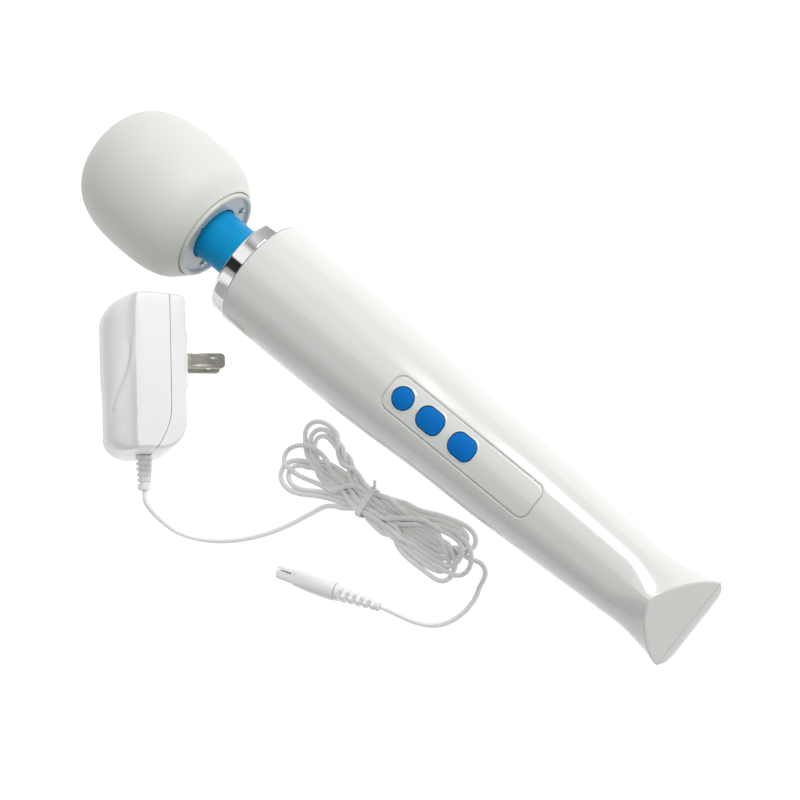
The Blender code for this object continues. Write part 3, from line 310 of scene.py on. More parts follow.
def build_finishes():
    return {
        "body": finish("gloss_white_body", (0.735, 0.745, 0.72), 0.18, grain=0.02, grain_scale=900,
                       tint=0.008, Coat_Weight=0.3, Coat_Roughness=0.05),
        "button": finish("satin_blue_button", (0.0, 0.165, 0.560), 0.42, tint=0.04, tint_scale=90,
                         grain=0.08, grain_scale=2600, Specular_IOR_Level=0.12),
        "boot": finish("blue_neck_rubber", (0.0, 0.285, 0.600), 0.40, tint=0.05, tint_scale=60,
                       grain=0.10, grain_scale=2200, Specular_IOR_Level=0.15),
        "silicone": finish("pale_head_silicone", (0.715, 0.715, 0.680), 0.55, tint=0.012, tint_scale=30,
                           grain=0.10, grain_scale=2400, Sheen_Weight=0.12, Sheen_Roughness=0.5),
        "plate": finish("cream_plate", (0.66, 0.655, 0.60), 0.34, tint=0.02, grain=0.05, grain_scale=1800),
        "chrome": finish("polished_chrome", (0.88, 0.88, 0.89), 0.05, metallic=1.0, tint=0.01,
                         rough_spread=0.02, grain=0.01, grain_scale=500),
        "steel": finish("bright_steel", (0.56, 0.57, 0.58), 0.32, metallic=1.0, grain=0.10, tint=0.06),
        "iron": finish("sintered_iron", (0.20, 0.20, 0.21), 0.50, metallic=0.9, grain=0.35, tint=0.10),
        "winding": finish("copper_winding", (0.72, 0.33, 0.16), 0.35, metallic=1.0, grain=0.20, tint=0.10),
        "brass": finish("turned_brass", (0.78, 0.60, 0.28), 0.28, metallic=1.0, grain=0.08, tint=0.05),
        "nickel": finish("nickel_blade", (0.39, 0.38, 0.33), 0.33, metallic=1.0, tint=0.12, tint_scale=260,
                         grain=0.16, grain_scale=1600, rough_spread=0.08),
        "damper": finish("black_damper", (0.03, 0.03, 0.03), 0.70, grain=0.20, tint=0.10),
        "dark": finish("grey_plastic", (0.17, 0.17, 0.18), 0.50, grain=0.12, tint=0.06),
        "board": finish("board_laminate", (0.02, 0.16, 0.07), 0.42, grain=0.10, tint=0.12, tint_scale=300),
        "cell": finish("cell_wrap", (0.05, 0.22, 0.45), 0.36, grain=0.04, tint=0.05),
        "led": finish("led_lens", (0.75, 0.85, 0.90), 0.15, grain=0.02, tint=0.02),
        "white": finish("white_adapter_plastic", (0.90, 0.90, 0.90), 0.34, tint=0.010, grain=0.10,
                        grain_scale=2000),
        "cord": finish("white_cord_jacket", (0.92, 0.92, 0.91), 0.36, tint=0.02, tint_scale=120,
                       grain=0.10, grain_scale=2600),
    }


# ------------------------------------------------------------------ mesh helpers
def add_piece(name, vertices, faces, slot, matrix, smooth_angle=35.0, weld=1e-6):
    """A mesh piece shaped in a sub-assembly's frame, welded, smooth, and put in the row frame."""
    mesh = bpy.data.meshes.new(name)
    mesh.from_pydata([tuple(v) for v in vertices], [], faces)
    builder = bmesh.new()
    builder.from_mesh(mesh)
    bmesh.ops.remove_doubles(builder, verts=builder.verts, dist=weld)
    bmesh.ops.dissolve_degenerate(builder, edges=builder.edges, dist=weld)
    bmesh.ops.recalc_face_normals(builder, faces=builder.faces)
    builder.to_mesh(mesh)
    builder.free()
    mesh.transform(matrix)
    mesh.shade_smooth()
    mesh.set_sharp_from_angle(angle=math.radians(smooth_angle))
    piece = bpy.data.objects.new(name, mesh)
    bpy.context.scene.collection.objects.link(piece)
    if slot:
        mesh.materials.append(FINISH[slot])
    return piece


def settle(piece, body, *nodes):
    """The piece moves with a body and stands for CAD nodes."""
    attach(piece, body)
    if nodes:
        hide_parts(*nodes)
    return piece


def grid_faces(rows, columns, offset=0, around=True):
    faces = []
    for i in range(rows - 1):
        for j in range(columns if around else columns - 1):
            k = (j + 1) % columns
            faces.append((offset + i * columns + j, offset + i * columns + k,
                          offset + (i + 1) * columns + k, offset + (i + 1) * columns + j))
    return faces


def capped_faces(rows, columns, offset=0):
    """Faces of a closed tube: its rings of vertices and the two ends."""
    last = offset + (rows - 1) * columns
    return grid_faces(rows, columns, offset) + [tuple(range(offset, offset + columns))[::-1],
                                                tuple(range(last, last + columns))]


def lathe(profile, steps=160):
    """Vertices and faces of a turned shape on the x axis; profile points are (radius, x)."""
    turn = np.linspace(0, 2 * math.pi, steps, endpoint=False)
    vertices = [(x, radius * c, radius * s) for radius, x in profile
                for c, s in zip(np.cos(turn), np.sin(turn))]
    return vertices, grid_faces(len(profile), steps)


def arc(centre, radius, start, end, count):
    """Points of an arc, in degrees from the first axis."""
    angles = np.radians(np.linspace(start, end, count + 1))
    return [(centre[0] + radius * math.cos(a), centre[1] + radius * math.sin(a)) for a in angles]


def smooth_line(points, per_span=8):
    """A Catmull-Rom curve through points of any dimension."""
    knots = [np.array(p, float) for p in points]
    knots = [2 * knots[0] - knots[1]] + knots + [2 * knots[-1] - knots[-2]]
    line = []
    for a, b, c, d in zip(knots, knots[1:], knots[2:], knots[3:]):
        for t in np.arange(per_span) / per_span:
            line.append(0.5 * (2 * b + (c - a) * t + (2 * a - 5 * b + 4 * c - d) * t ** 2
                               + (3 * b - a - 3 * c + d) * t ** 3))
    return np.array(line + [knots[-2]])


def even_line(line, spacing=None, count=None):
    """The same polyline with points at an even spacing."""
    lengths = np.r_[0, np.cumsum(np.linalg.norm(np.diff(line, axis=0), axis=1))]
    count = count or max(2, round(lengths[-1] / spacing) + 1)
    stops = np.linspace(0, lengths[-1], count)
    return np.stack([np.interp(stops, lengths, line[:, k]) for k in range(line.shape[1])], axis=1)


def rounded_rect_distance(x, y, centre, half_x, half_y, corner):
    """Signed distance in a plane to a rectangle with round corners, negative inside."""
    across = np.abs(x - centre[0]) - (half_x - corner)
    along = np.abs(y - centre[1]) - (half_y - corner)
    outside = np.hypot(np.maximum(across, 0), np.maximum(along, 0))
    return outside + np.minimum(np.maximum(across, along), 0) - corner


def rounded_outline(half_x, half_y, corner, centre=(0.0, 0.0), per_corner=12):
    points = []
    for number, (sx, sy) in enumerate(((1, 1), (-1, 1), (-1, -1), (1, -1))):
        middle = (centre[0] + sx * (half_x - corner), centre[1] + sy * (half_y - corner))
        points += arc(middle, corner, 90 * number, 90 * number + 90, per_corner)
    return points


def edge_drop(distance, radius):
    """How far a surface falls towards an edge that is rounded to a radius."""
    run = np.clip(radius - distance, 0, radius)
    return radius - np.sqrt(np.maximum(radius ** 2 - run ** 2, 0))


def prism_cutter(name, outline, low, high, matrix):
    """A closed upright prism, used once by a Boolean."""
    count = len(outline)
    vertices = [(x, y, low) for x, y in outline] + [(x, y, high) for x, y in outline]
    faces = [tuple(range(count))[::-1], tuple(range(count, 2 * count))]
    faces += [(i, (i + 1) % count, count + (i + 1) % count, count + i) for i in range(count)]
    return add_piece(name, vertices, faces, None, matrix)


def block_cutter(name, low, high, matrix):
    """A closed block between two corners, used once by a Boolean."""
    corners = [(x, y, z) for x in (low[0], high[0]) for y in (low[1], high[1]) for z in (low[2], high[2])]
    faces = [(0, 1, 3, 2), (4, 6, 7, 5), (0, 4, 5, 1), (2, 3, 7, 6), (0, 2, 6, 4), (1, 5, 7, 3)]
    return add_piece(name, corners, faces, None, matrix)


def carve(piece, cutters, operation='DIFFERENCE'):
    """Apply Booleans to a closed mesh and remove the cutters."""
    for cutter in cutters:
        step = piece.modifiers.new(cutter.name, 'BOOLEAN')
        step.operation = operation
        step.solver = 'MANIFOLD'
        step.object = cutter
    bake(piece)
    for cutter in cutters:
        bpy.data.objects.remove(cutter, do_unlink=True)
    return piece


def bake(piece, smooth_angle=35.0):
    """Replace the piece's mesh by its evaluated mesh, without modifiers."""
    bpy.context.view_layer.update()
    shown = piece.evaluated_get(bpy.context.evaluated_depsgraph_get())
    mesh = bpy.data.meshes.new_from_object(shown)
    piece.modifiers.clear()
    piece.data = mesh
    mesh.shade_smooth()
    mesh.set_sharp_from_angle(angle=math.radians(smooth_angle))
    return piece


def thicken(piece, thickness):
    """Give an open skin a wall, inwards."""
    wall = piece.modifiers.new("wall", 'SOLIDIFY')
    wall.thickness = thickness
    wall.offset = -1.0
    return bake(piece)


# ------------------------------------------------------------------ cord
def loop_points(start, end, direction, reach, half_width, height, side, steps=22):
    """One lobe of the hank: out of the tie at one slot, round, and back in at another."""
    points = []
    turn = math.radians(direction)
    for i in range(1, steps):
        share = i / steps
        out = reach * math.sin(math.pi * share) ** 0.8
        across = -side * half_width * math.sin(2 * math.pi * share)
        along = out * math.cos(turn)
        lobe_w = across + out * math.sin(turn)
        near = max(0.0, 1 - out / (0.55 * reach)) ** 1.5
        slot = start if share < 0.5 else end
        blend_w = near * slot[0] + (1 - near) * lobe_w
        blend_z = near * slot[1] + (1 - near) * height
        points.append((side * (TIE_HALF_LENGTH + along * (1 - TIE_HALF_LENGTH / reach)), blend_w, blend_z))
    return points


def hank_guess():
    """The hank's first shape in its own frame: 13 passes through the tie and the loops between."""
    layer_heights = [TIE_INNER_Z[0] + CORD_RADIUS + layer * 0.00205 for layer in range(3)]
    slots = [(w, z) for row, z in zip(TIE_SLOTS, layer_heights) for w in row]
    points = []
    for number, slot in enumerate(slots):
        heading = -1 if number % 2 == 0 else 1
        for s in (-1, -0.4, 0.4, 1):
            points.append((heading * s * TIE_HALF_LENGTH, *slot))
        if number + 1 < len(slots):
            loops = REAR_LOOPS if heading < 0 else FRONT_LOOPS
            direction, reach, half_width = loops[number // 2]
            height = 0.0014 + 0.0023 * (number // 2)
            points += loop_points(slot, slots[number + 1], direction, reach, half_width, height, heading)
    return points


def relax(line, spacing, held, rounds):
    """Let the strands settle on the floor and on each other: a small rope simulation.

    Strands keep their spacing, push each other a diameter apart, bend gently and sink; held points
    don't move, and the points inside the tie stay inside it.
    """
    place = line.copy()
    inverse = np.array(HANK.inverted())
    forward = np.array(HANK)
    first = place.copy()
    count = len(place)
    index = np.arange(count)
    apart = 2 * CORD_RADIUS
    stiffness, sink, firmness = 0.045, 0.00006, 1.4
    tie_side = TIE_INNER_HALF - CORD_RADIUS
    tie_floor, tie_roof = TIE_INNER_Z[0] + CORD_RADIUS, TIE_INNER_Z[1] - CORD_RADIUS
    free = (~held)[:, None]
    far_along = np.abs(index[:, None] - index[None, :]) > 4
    in_tie = np.abs(((place @ inverse[:3, :3].T) + inverse[:3, 3])[:, 0]) < TIE_HALF_LENGTH
    for number in range(rounds):
        pull = 0.02 if number < rounds * 0.6 else 0.004
        place[:, :2] += free * pull * (first[:, :2] - place[:, :2])
        place[:, 2:] -= free * sink
        bend = np.zeros_like(place)
        bend[2:-2] = -place[:-4] + 4 * place[1:-3] - 6 * place[2:-2] + 4 * place[3:-1] - place[4:]
        place += free * bend * stiffness
        for parity in (0, 1):
            a, b = index[parity:-1:2], index[parity:-1:2] + 1
            gap = place[b] - place[a]
            length = np.linalg.norm(gap, axis=1, keepdims=True)
            shift = 0.5 * (length - spacing) / np.maximum(length, 1e-9) * gap
            place[a] += free[a] * shift
            place[b] -= free[b] * shift
        for _ in range(2):
            delta = place[:, None, :] - place[None, :, :]
            distance = np.sqrt((delta ** 2).sum(2)) + 1e-9
            close = far_along & (distance < apart)
            rows, columns = np.nonzero(close)
            push = np.zeros_like(place)
            gap = distance[rows, columns][:, None]
            np.add.at(push, rows, 0.5 * (apart - gap) / gap * delta[rows, columns])
            touches = np.bincount(rows, minlength=count)[:, None]
            place += free * push / np.maximum(touches, 1) * firmness
            place[:, 2] = np.maximum(place[:, 2], CORD_RADIUS + 0.0001)
        local = place @ inverse[:3, :3].T + inverse[:3, 3]
        local[in_tie, 1] = np.clip(local[in_tie, 1], -tie_side, tie_side)
        local[in_tie, 2] = np.clip(local[in_tie, 2], tie_floor, tie_roof)
        place = local @ forward[:3, :3].T + forward[:3, 3]
        place[held] = first[held]
    return place


def build_cord():
    """The charger's lead as one curve: adapter lead, hank and plug lead, settled by relax."""
    hank = [HANK @ Vector(p) for p in hank_guess()]
    whole = smooth_line(list(ADAPTER_LEAD) + [tuple(p) for p in hank] + list(PLUG_LEAD), 10)
    spacing = 0.0024
    line = even_line(whole, spacing)
    spacing = float(np.linalg.norm(np.diff(line, axis=0), axis=1).mean())
    lead_in = np.linalg.norm(np.diff(smooth_line(ADAPTER_LEAD), axis=0), axis=1).sum()
    lead_out = np.linalg.norm(np.diff(smooth_line(PLUG_LEAD), axis=0), axis=1).sum()
    held = np.zeros(len(line), bool)
    held[:int(0.93 * lead_in / spacing)] = True
    held[-int(0.88 * lead_out / spacing):] = True
    line = relax(line, spacing, held, 260)
    line = even_line(smooth_line(line, 4), 0.0011)
    curve = bpy.data.curves.new("charger_cord", 'CURVE')
    curve.dimensions = '3D'
    curve.bevel_depth = CORD_RADIUS
    curve.bevel_resolution = 3
    curve.use_fill_caps = True
    spline = curve.splines.new('POLY')
    spline.points.add(len(line) - 1)
    for point, position in zip(spline.points, line):
        point.co = (*position, 1.0)
    cord = bpy.data.objects.new("charger_cord", curve)
    bpy.context.scene.collection.objects.link(cord)
    curve.materials.append(FINISH["cord"])
    settle(cord, "charger", "adapter_lead", "cord_hank", "plug_lead")
    return cord


# ------------------------------------------------------------------ handle
def handle_sizes(x):
    """Half width, height and depth of the handle at x, from a smooth curve through HANDLE."""
    rows = HANDLE
    x = min(max(x, rows[0][0]), rows[-1][0])
    index = max(i for i in range(len(rows) - 1) if x >= rows[i][0] or i == 0)

    def slope(i, column):
        low, high = max(i - 1, 0), min(i + 1, len(rows) - 1)
        return (rows[high][column] - rows[low][column]) / (rows[high][0] - rows[low][0])

    a, b = rows[index], rows[index + 1]
    run = b[0] - a[0]
    t = (x - a[0]) / run
    return [(2 * t ** 3 - 3 * t ** 2 + 1) * a[c] + (t ** 3 - 2 * t ** 2 + t) * run * slope(index, c)
            + (3 * t ** 2 - 2 * t ** 3) * b[c] + (t ** 3 - t ** 2) * run * slope(index + 1, c)
            for c in (1, 2, 3)]


def foot_face_x(z):
    """Where the foot's face lies at height z: a flat facet, rounded under at the heel."""
    drop = np.minimum(z - CREASE_HEIGHT, 0.0)
    return FACET_CORNER_X + FACET_LEAN * (z - CREASE_HEIGHT) + HEEL_ROUND * drop * drop


def handle_ring(x, angles, inset=0.0, split=0.0):
    """Points of the handle's section at x; angle 0 is the +Y side and 90 degrees the top."""
    width, top, bottom = (value - inset for value in handle_sizes(x))
    share = min(max((CREASE_END_X - x) / (CREASE_END_X - FOOT_X), 0.0), 1.0)
    toward_foot = share * share * (3 - 2 * share)
    middle = CREASE_HEIGHT * toward_foot + split
    power = 2.0 + (CREASE_POWER - 2.0) * toward_foot
    across, up = np.cos(angles), np.sin(angles)
    y = width * np.sign(across) * np.abs(across) ** (2 / power)
    reach = np.where(up >= 0, top - middle, bottom + middle)
    z = middle + reach * np.sign(up) * np.abs(up) ** (2 / power)
    return np.stack([x + share * (foot_face_x(z) - FOOT_X), y, z], axis=1)


def handle_stops():
    """Stations (x, inset) along the handle: close at the foot's edge and at the panel's ends."""
    rounds = np.radians(np.linspace(0, 90, 6))
    stops = [(FOOT_X + FOOT_EDGE * (1 - math.cos(a)), FOOT_EDGE * (1 - math.sin(a))) for a in rounds]
    spans = ((FOOT_X + FOOT_EDGE, -0.1300, 0.0007), (-0.1300, -0.0940, 0.0015), (-0.0940, -0.0860, 0.00025),
             (-0.0860, -0.0205, 0.0011), (-0.0205, -0.0130, 0.00025), (-0.0130, SHELL_FRONT_X, 0.0020))
    for start, end, step in spans:
        count = round((end - start) / step)
        stops += [(start + (end - start) * (i + 1) / count, 0.0) for i in range(count)]
    return stops


def casing_skin(name, side, angles):
    """One half of the casing as an open skin, with its share of the foot's face."""
    rows = [handle_ring(x, side * angles, inset, side * PARTING) for x, inset in handle_stops()]
    if side > 0:
        for row in rows:
            distance = rounded_rect_distance(row[:, 0], row[:, 1], PANEL_MIDDLE, *WINDOW_HALF, WINDOW_CORNER)
            drop = edge_drop(np.maximum(distance, 0), WINDOW_EDGE)
            outward = row[:, 1:] / np.linalg.norm(row[:, 1:], axis=1, keepdims=True)
            row[:, 1:] -= drop[:, None] * outward
    vertices = np.concatenate(rows)
    columns = len(angles)
    faces = grid_faces(len(rows), columns, around=False)
    first, half, rungs = rows[0], columns // 2, 25
    offset = len(vertices)
    share = np.linspace(0, 1, rungs)[:, None]
    cap = [first[i] + share * (first[columns - 1 - i] - first[i]) for i in range(half + 1)]
    faces += grid_faces(half + 1, rungs, offset, around=False)
    vertices = np.concatenate([vertices] + cap)
    skin = add_piece(name, vertices, faces, "body", WAND)
    return point_outward(skin, WAND @ Vector((0, 0, 0)))


def point_outward(piece, centre):
    """Turn an open skin's faces so that they look away from the wand's axis."""
    axis = WAND.to_3x3() @ Vector((1, 0, 0))
    total = 0.0
    for face in piece.data.polygons:
        away = face.center - centre
        total += face.area * face.normal.dot(away - away.dot(axis) * axis)
    if total < 0:
        piece.data.flip_normals()
    return piece


def build_casing():
    """The two halves of the handle's casing, with the panel's window, the socket and screw holes."""
    fine = np.radians(np.concatenate([np.linspace(0, 56, 30)[:-1], np.linspace(56, 124, 121),
                                      np.linspace(124, 180, 30)[1:]]))
    front = thicken(casing_skin("front_casing", 1, fine), WALL)
    outline = rounded_outline(*WINDOW_HALF, WINDOW_CORNER, PANEL_MIDDLE, 20)
    carve(front, [prism_cutter("window", outline, 0.0100, 0.0300, WAND)])
    settle(front, "handle", "front_shell")
    coarse = np.radians(np.linspace(0, 180, 97))
    back = thicken(casing_skin("back_casing", -1, coarse), WALL)
    socket = rounded_outline(*SOCKET_HALF, SOCKET_HALF[1], (SOCKET_X, 0.0))
    cutters = [prism_cutter("socket_hole", socket, -0.0300, -0.0100, WAND)]
    for place in SCREW_SINKS:
        hole = arc(place, SCREW_SINK_RADIUS, 0, 350, 35)
        cutters.append(prism_cutter("screw_hole", hole, -0.0300, -0.0120, WAND))
    carve(back, cutters)
    settle(back, "handle", "back_shell")


def build_panel():
    """The control panel: rounded at its edge, with a low rim round each button's hole."""
    angles = np.radians(np.linspace(64, 116, 93))
    rows = [handle_ring(x, angles) for x in np.arange(PANEL_X[0] - 0.0015, PANEL_X[1] + 0.0015, 0.0003)]
    for row in rows:
        inside = -rounded_rect_distance(row[:, 0], row[:, 1], PANEL_MIDDLE, *PANEL_HALF, PANEL_CORNER)
        lift = -edge_drop(np.maximum(inside, 0), PANEL_EDGE)
        for _, _, x, half_x, half_y, corner in BUTTONS:
            distance = rounded_rect_distance(row[:, 0], row[:, 1], (x, 0), half_x + GAP, half_y + GAP,
                                             corner + GAP)
            lift += RIM_HEIGHT * np.sin(math.pi * np.clip(distance / RIM_WIDTH + 0.25, 0, 1))
        outward = row[:, 1:] / np.linalg.norm(row[:, 1:], axis=1, keepdims=True)
        row[:, 1:] += lift[:, None] * outward
    panel = add_piece("button_panel", np.concatenate(rows), grid_faces(len(rows), len(angles), around=False),
                      "body", WAND)
    point_outward(panel, WAND @ Vector((0, 0, 0)))
    thicken(panel, PANEL_THICK)
    outline = rounded_outline(*PANEL_HALF, PANEL_CORNER, PANEL_MIDDLE, 20)
    carve(panel, [prism_cutter("panel_outline", outline, 0.0100, 0.0300, WAND)], 'INTERSECT')
    holes = []
    for _, _, x, half_x, half_y, corner in BUTTONS:
        hole = rounded_outline(half_x + GAP, half_y + GAP, corner + GAP, (x, 0.0))
        holes.append(prism_cutter("button_hole", hole, 0.0100, 0.0300, WAND))
    carve(panel, holes)
    settle(panel, "handle", "control_panel")


def build_button(name, body, x, half_x, half_y, corner):
    """A cap with a skirt, a round edge and a low dome that follows the handle's curve."""
    top = handle_sizes(x)[1]
    edge = 0.0005
    skirt, crown, dome = top - 0.0040, top + 0.00035, 0.00035
    layers = [(skirt, 0.0, 1.0), (crown - edge, 0.0, 1.0)]
    for degrees in (20, 40, 60, 80):
        a = math.radians(degrees)
        layers.append((crown - edge + edge * math.sin(a), -edge * (1 - math.cos(a)), 1.0))
    for share in (0.96, 0.90, 0.80, 0.65, 0.50, 0.33, 0.16, 0.0):
        layers.append((crown + dome * (1 - share * share), -edge, share))
    vertices = []
    for height, growth, share in layers:
        for px, py in rounded_outline(half_x + growth, half_y + growth, corner + growth):
            px, py = px * share, py * share
            follow = py * py / (2 * top) if height > skirt else 0.0
            vertices.append((x + px, py, height - follow))
    columns = len(vertices) // len(layers)
    faces = grid_faces(len(layers), columns) + [tuple(range(columns))[::-1]]
    cap = add_piece(name + "_cap", vertices, faces, "button", WAND, 40)
    settle(cap, body, name)


# ------------------------------------------------------------------ collar, neck and head
def turned_piece(name, profile, slot, steps=192, smooth_angle=35.0):
    vertices, faces = lathe(list(profile) + [profile[0]], steps)
    return add_piece(name, vertices, faces, slot, WAND, smooth_angle)


def build_collar():
    """The chrome collar: a ring round the handle's mouth with a round front edge."""
    rear, front = COLLAR_X
    bevel = 0.0004
    profile = [(NECK_HOLE, front - 0.0007), (NECK_HOLE + 0.0006, front - 0.0002), (NECK_HOLE + 0.0016, front)]
    profile += arc((COLLAR_RADIUS - COLLAR_EDGE, front - COLLAR_EDGE), COLLAR_EDGE, 90, 0, 18)
    profile += arc((COLLAR_RADIUS - bevel, rear + bevel), bevel, 0, -90, 5)
    profile += [(0.0221, rear), (0.0221, front - 0.0030), (NECK_HOLE, front - 0.0026)]
    settle(turned_piece("collar_ring", profile, "chrome", 256), "handle", "chrome_collar")


def build_boot():
    """The boot in two halves: the lower from the handle's mouth to the middle of the neck, the upper from
    there to the head.
    """
    low, high = BOOT_X
    start, middle, end = BOOT_BENDS

    def skin(x):
        share = min(max((x - BOOT_FOOT_X) / (high - BOOT_FOOT_X), 0.0), 1.0)
        return BOOT_RADIUS - BOOT_WAIST * math.sin(math.pi * share)

    lower = [(BOOT_BORE, low), (BOOT_FLANGE, low), (BOOT_FLANGE, low + 0.0016),
             (BOOT_FLANGE - 0.0010, low + 0.0020), (skin(BOOT_FOOT_X), BOOT_FOOT_X)]
    lower += [(skin(x), x) for x in np.linspace(BOOT_FOOT_X, middle, 22)[1:]]
    lower += [(BOOT_BORE, x) for x in np.linspace(middle, BOOT_FOOT_X, 12)]
    upper = [(BOOT_BORE, x) for x in np.linspace(high, middle, 12)]
    upper += [(skin(x), x) for x in np.linspace(middle, high - 0.0004, 22)]
    upper += [(skin(high) - 0.0004, high)]
    line = [WAND @ Vector((x, 0, 0)) for x in (start, middle, end)]
    for name, profile, bodies, ends in (("neck_boot_lower", lower, ("handle", "neck"), line[:2]),
                                        ("neck_boot_upper", upper, ("neck", "head"), line[1:])):
        piece = turned_piece(name, profile, "boot", 128, 50)
        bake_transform(piece)
        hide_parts("neck_boot")


def dome(radius, length, start, end, count):
    """Superellipse profile points of the head, from near the tip down to its widest ring."""
    angles = np.radians(np.linspace(start, end, count))
    return [(radius * math.cos(a) ** (2 / HEAD_POWER), HEAD_WIDE_X + length * math.sin(a) ** (2 / HEAD_POWER))
            for a in angles]


def build_head():
    """The silicone cover, the base plate with its raised ring, and the plate's three screws."""
    outer = [(0, HEAD_WIDE_X + HEAD_DOME)] + dome(HEAD_RADIUS, HEAD_DOME, 89, 0.5, 70)
    lower = smooth_line([(HEAD_RADIUS, HEAD_WIDE_X), (0.0303, 0.1138), (0.0294, 0.1082), (0.0278, 0.1036),
                         (0.0256, 0.1004), (0.0234, 0.0979), (0.0218, 0.0961)], 8)
    rim = [(0.0214, 0.0960), (0.0212, 0.0964), (0.0212, 0.0986), (0.0230, 0.0989), (0.0251, 0.1040),
           (0.0265, 0.1100), (0.0270, HEAD_WIDE_X)]
    inner = dome(0.0270, HEAD_DOME - 0.0038, 1, 89, 24)
    profile = outer + [tuple(p) for p in lower] + rim + inner + [(0, HEAD_WIDE_X + HEAD_DOME - 0.0038)]
    vertices, faces = lathe(profile, 192)
    cover = add_piece("silicone_head", vertices, faces, "silicone", WAND)
    settle(cover, "head", "head_cover")
    ring = [(0.0121, 0.1010), (0.0226, 0.1010), (0.0226, 0.0992), (0.0209, 0.0990)]
    ring += arc((0.0199, 0.0953), 0.0010, 0, -180, 14)
    ring += [(0.0188, 0.0956), (0.0185, 0.0959), (0.0128, 0.0959), (0.0124, 0.0960), (0.0121, 0.0963)]
    settle(turned_piece("head_base", ring, "plate"), "head", "head_base_plate")
    for number in range(3):
        angle = math.radians(90 + 120 * number)
        place = WAND @ Matrix.Translation((0, PLATE_SCREW_RING * math.cos(angle),
                                           PLATE_SCREW_RING * math.sin(angle)))
        head = [(0, 0.0956), (0.0014, 0.0956), (0.0014, 0.0951), (0.0011, 0.0948), (0.0006, 0.0946),
                (0, 0.0946)]
        vertices, faces = lathe(head, 40)
        screw = add_piece("base_screw_%d" % (number + 1), vertices, faces, "steel", place)
        slots = []
        for half_y, half_z in ((0.0008, 0.00018), (0.00018, 0.0008)):
            turn = place @ Matrix.Rotation(math.radians(25 * number), 4, 'X')
            low, high = (0.0938, -half_y, -half_z), (0.0950, half_y, half_z)
            slots.append(block_cutter("driver_slot", low, high, turn))
        carve(screw, slots)
        settle(screw, "head", "plate_screw_%d" % (number + 1))


# ------------------------------------------------------------------ charger
def adapter_outline():
    """The adapter's outline, blades to +X and top to +Y, as fine arcs and subdivided lines."""
    points = arc((0.0136, 0.0295), 0.0028, 0, 90, 10)
    points += [(0.0085, 0.0328), (0.0017, 0.0336)]
    points += arc((-0.0046, 0.0216), 0.0118, 100, 175, 24)
    points += [(-0.0164, 0.0096), (-0.0162, 0.0), (-0.0156, -0.0105), (-0.0155, -0.0210)]
    points += arc((-0.0087, -0.0264), 0.0068, 180, 262, 18)
    points += arc((0.0047, -0.0217), 0.0117, 280, 358, 24)
    closed = np.array(points + points[:1])
    return even_line(closed, count=241)[:-1]


def adapter_rows():
    """Stacked outlines across the adapter's width, with round edges and a sculpted back flank."""
    outline = adapter_outline()
    table = np.array([(0.0, 0.10), (0.025, 0.16), (0.08, 0.30), (0.20, 0.78), (0.34, 1.0), (0.50, 1.02)])
    line = smooth_line(table, 10)
    edge_height, edge_inset, flank = 0.0034, 0.0017, -0.0038
    rows = []
    for share in (1 - np.cos(np.linspace(0, math.pi, 81))) / 2:
        nearer = min(share, 1 - share)
        squeeze = np.interp(nearer, line[:, 0], line[:, 1])
        rise = min(nearer * ADAPTER_WIDTH / edge_height, 1.0)
        inset = edge_inset * (1 - math.sqrt(1 - (1 - rise) ** 2))
        length = np.linalg.norm(outline, axis=1, keepdims=True)
        row = outline * (1 - inset / length)
        back = row[:, 0] < flank
        row[back, 0] = flank + (row[back, 0] - flank) * squeeze
        row[:, 0] += crease(row[:, 1], share) * (row[:, 0] < flank)
        rows.append(np.column_stack([row, np.full(len(row), share * ADAPTER_WIDTH)]))
    return rows


def crease(q, share):
    """Depth of the swept fold on the back flank, near the adapter's upper side."""
    path = 0.92 - 0.15 * np.clip((0.010 - q) / 0.024, 0, 1) ** 1.5
    window = np.clip((q + 0.0190) / 0.005, 0, 1) * np.clip((0.0150 - q) / 0.008, 0, 1)
    fold = np.exp(-((share - path) / 0.024) ** 2)
    swell = np.exp(-((share - path - 0.05) / 0.035) ** 2)
    low = 0.87 + 0.25 * (q + 0.0215) / 0.010
    hem = np.exp(-((share - low) / 0.05) ** 2) * np.clip((-0.0150 - q) / 0.004, 0, 1)
    return 0.0011 * window * fold - 0.0007 * window * swell + 0.0005 * hem


def seam_p(q):
    """The parting line: straight down the side, then swept back to the strain relief."""
    return ADAPTER_SEAM - 0.0064 * np.clip((-0.0150 - q) / 0.0180, 0, 1) ** 2


def adapter_solid(name):
    """The whole adapter as one closed solid, its two ends filled by shrinking outlines."""
    rows = adapter_rows()
    columns = len(rows[0])
    vertices = list(np.concatenate(rows))
    faces = grid_faces(len(rows), columns)
    for row, lift in ((rows[0], 0.0), (rows[-1], 0.0005)):
        start = len(vertices)
        shares = np.linspace(1.0, 0.0, 14)
        for share in shares:
            height = row[0, 2] + lift * (1 - share ** 2)
            flat = row[:, :2] * share
            vertices += list(np.column_stack([flat, np.full(columns, height)]))
        faces += grid_faces(len(shares), columns, start)
    return add_piece(name, vertices, faces, "white", ADAPTER, 30)


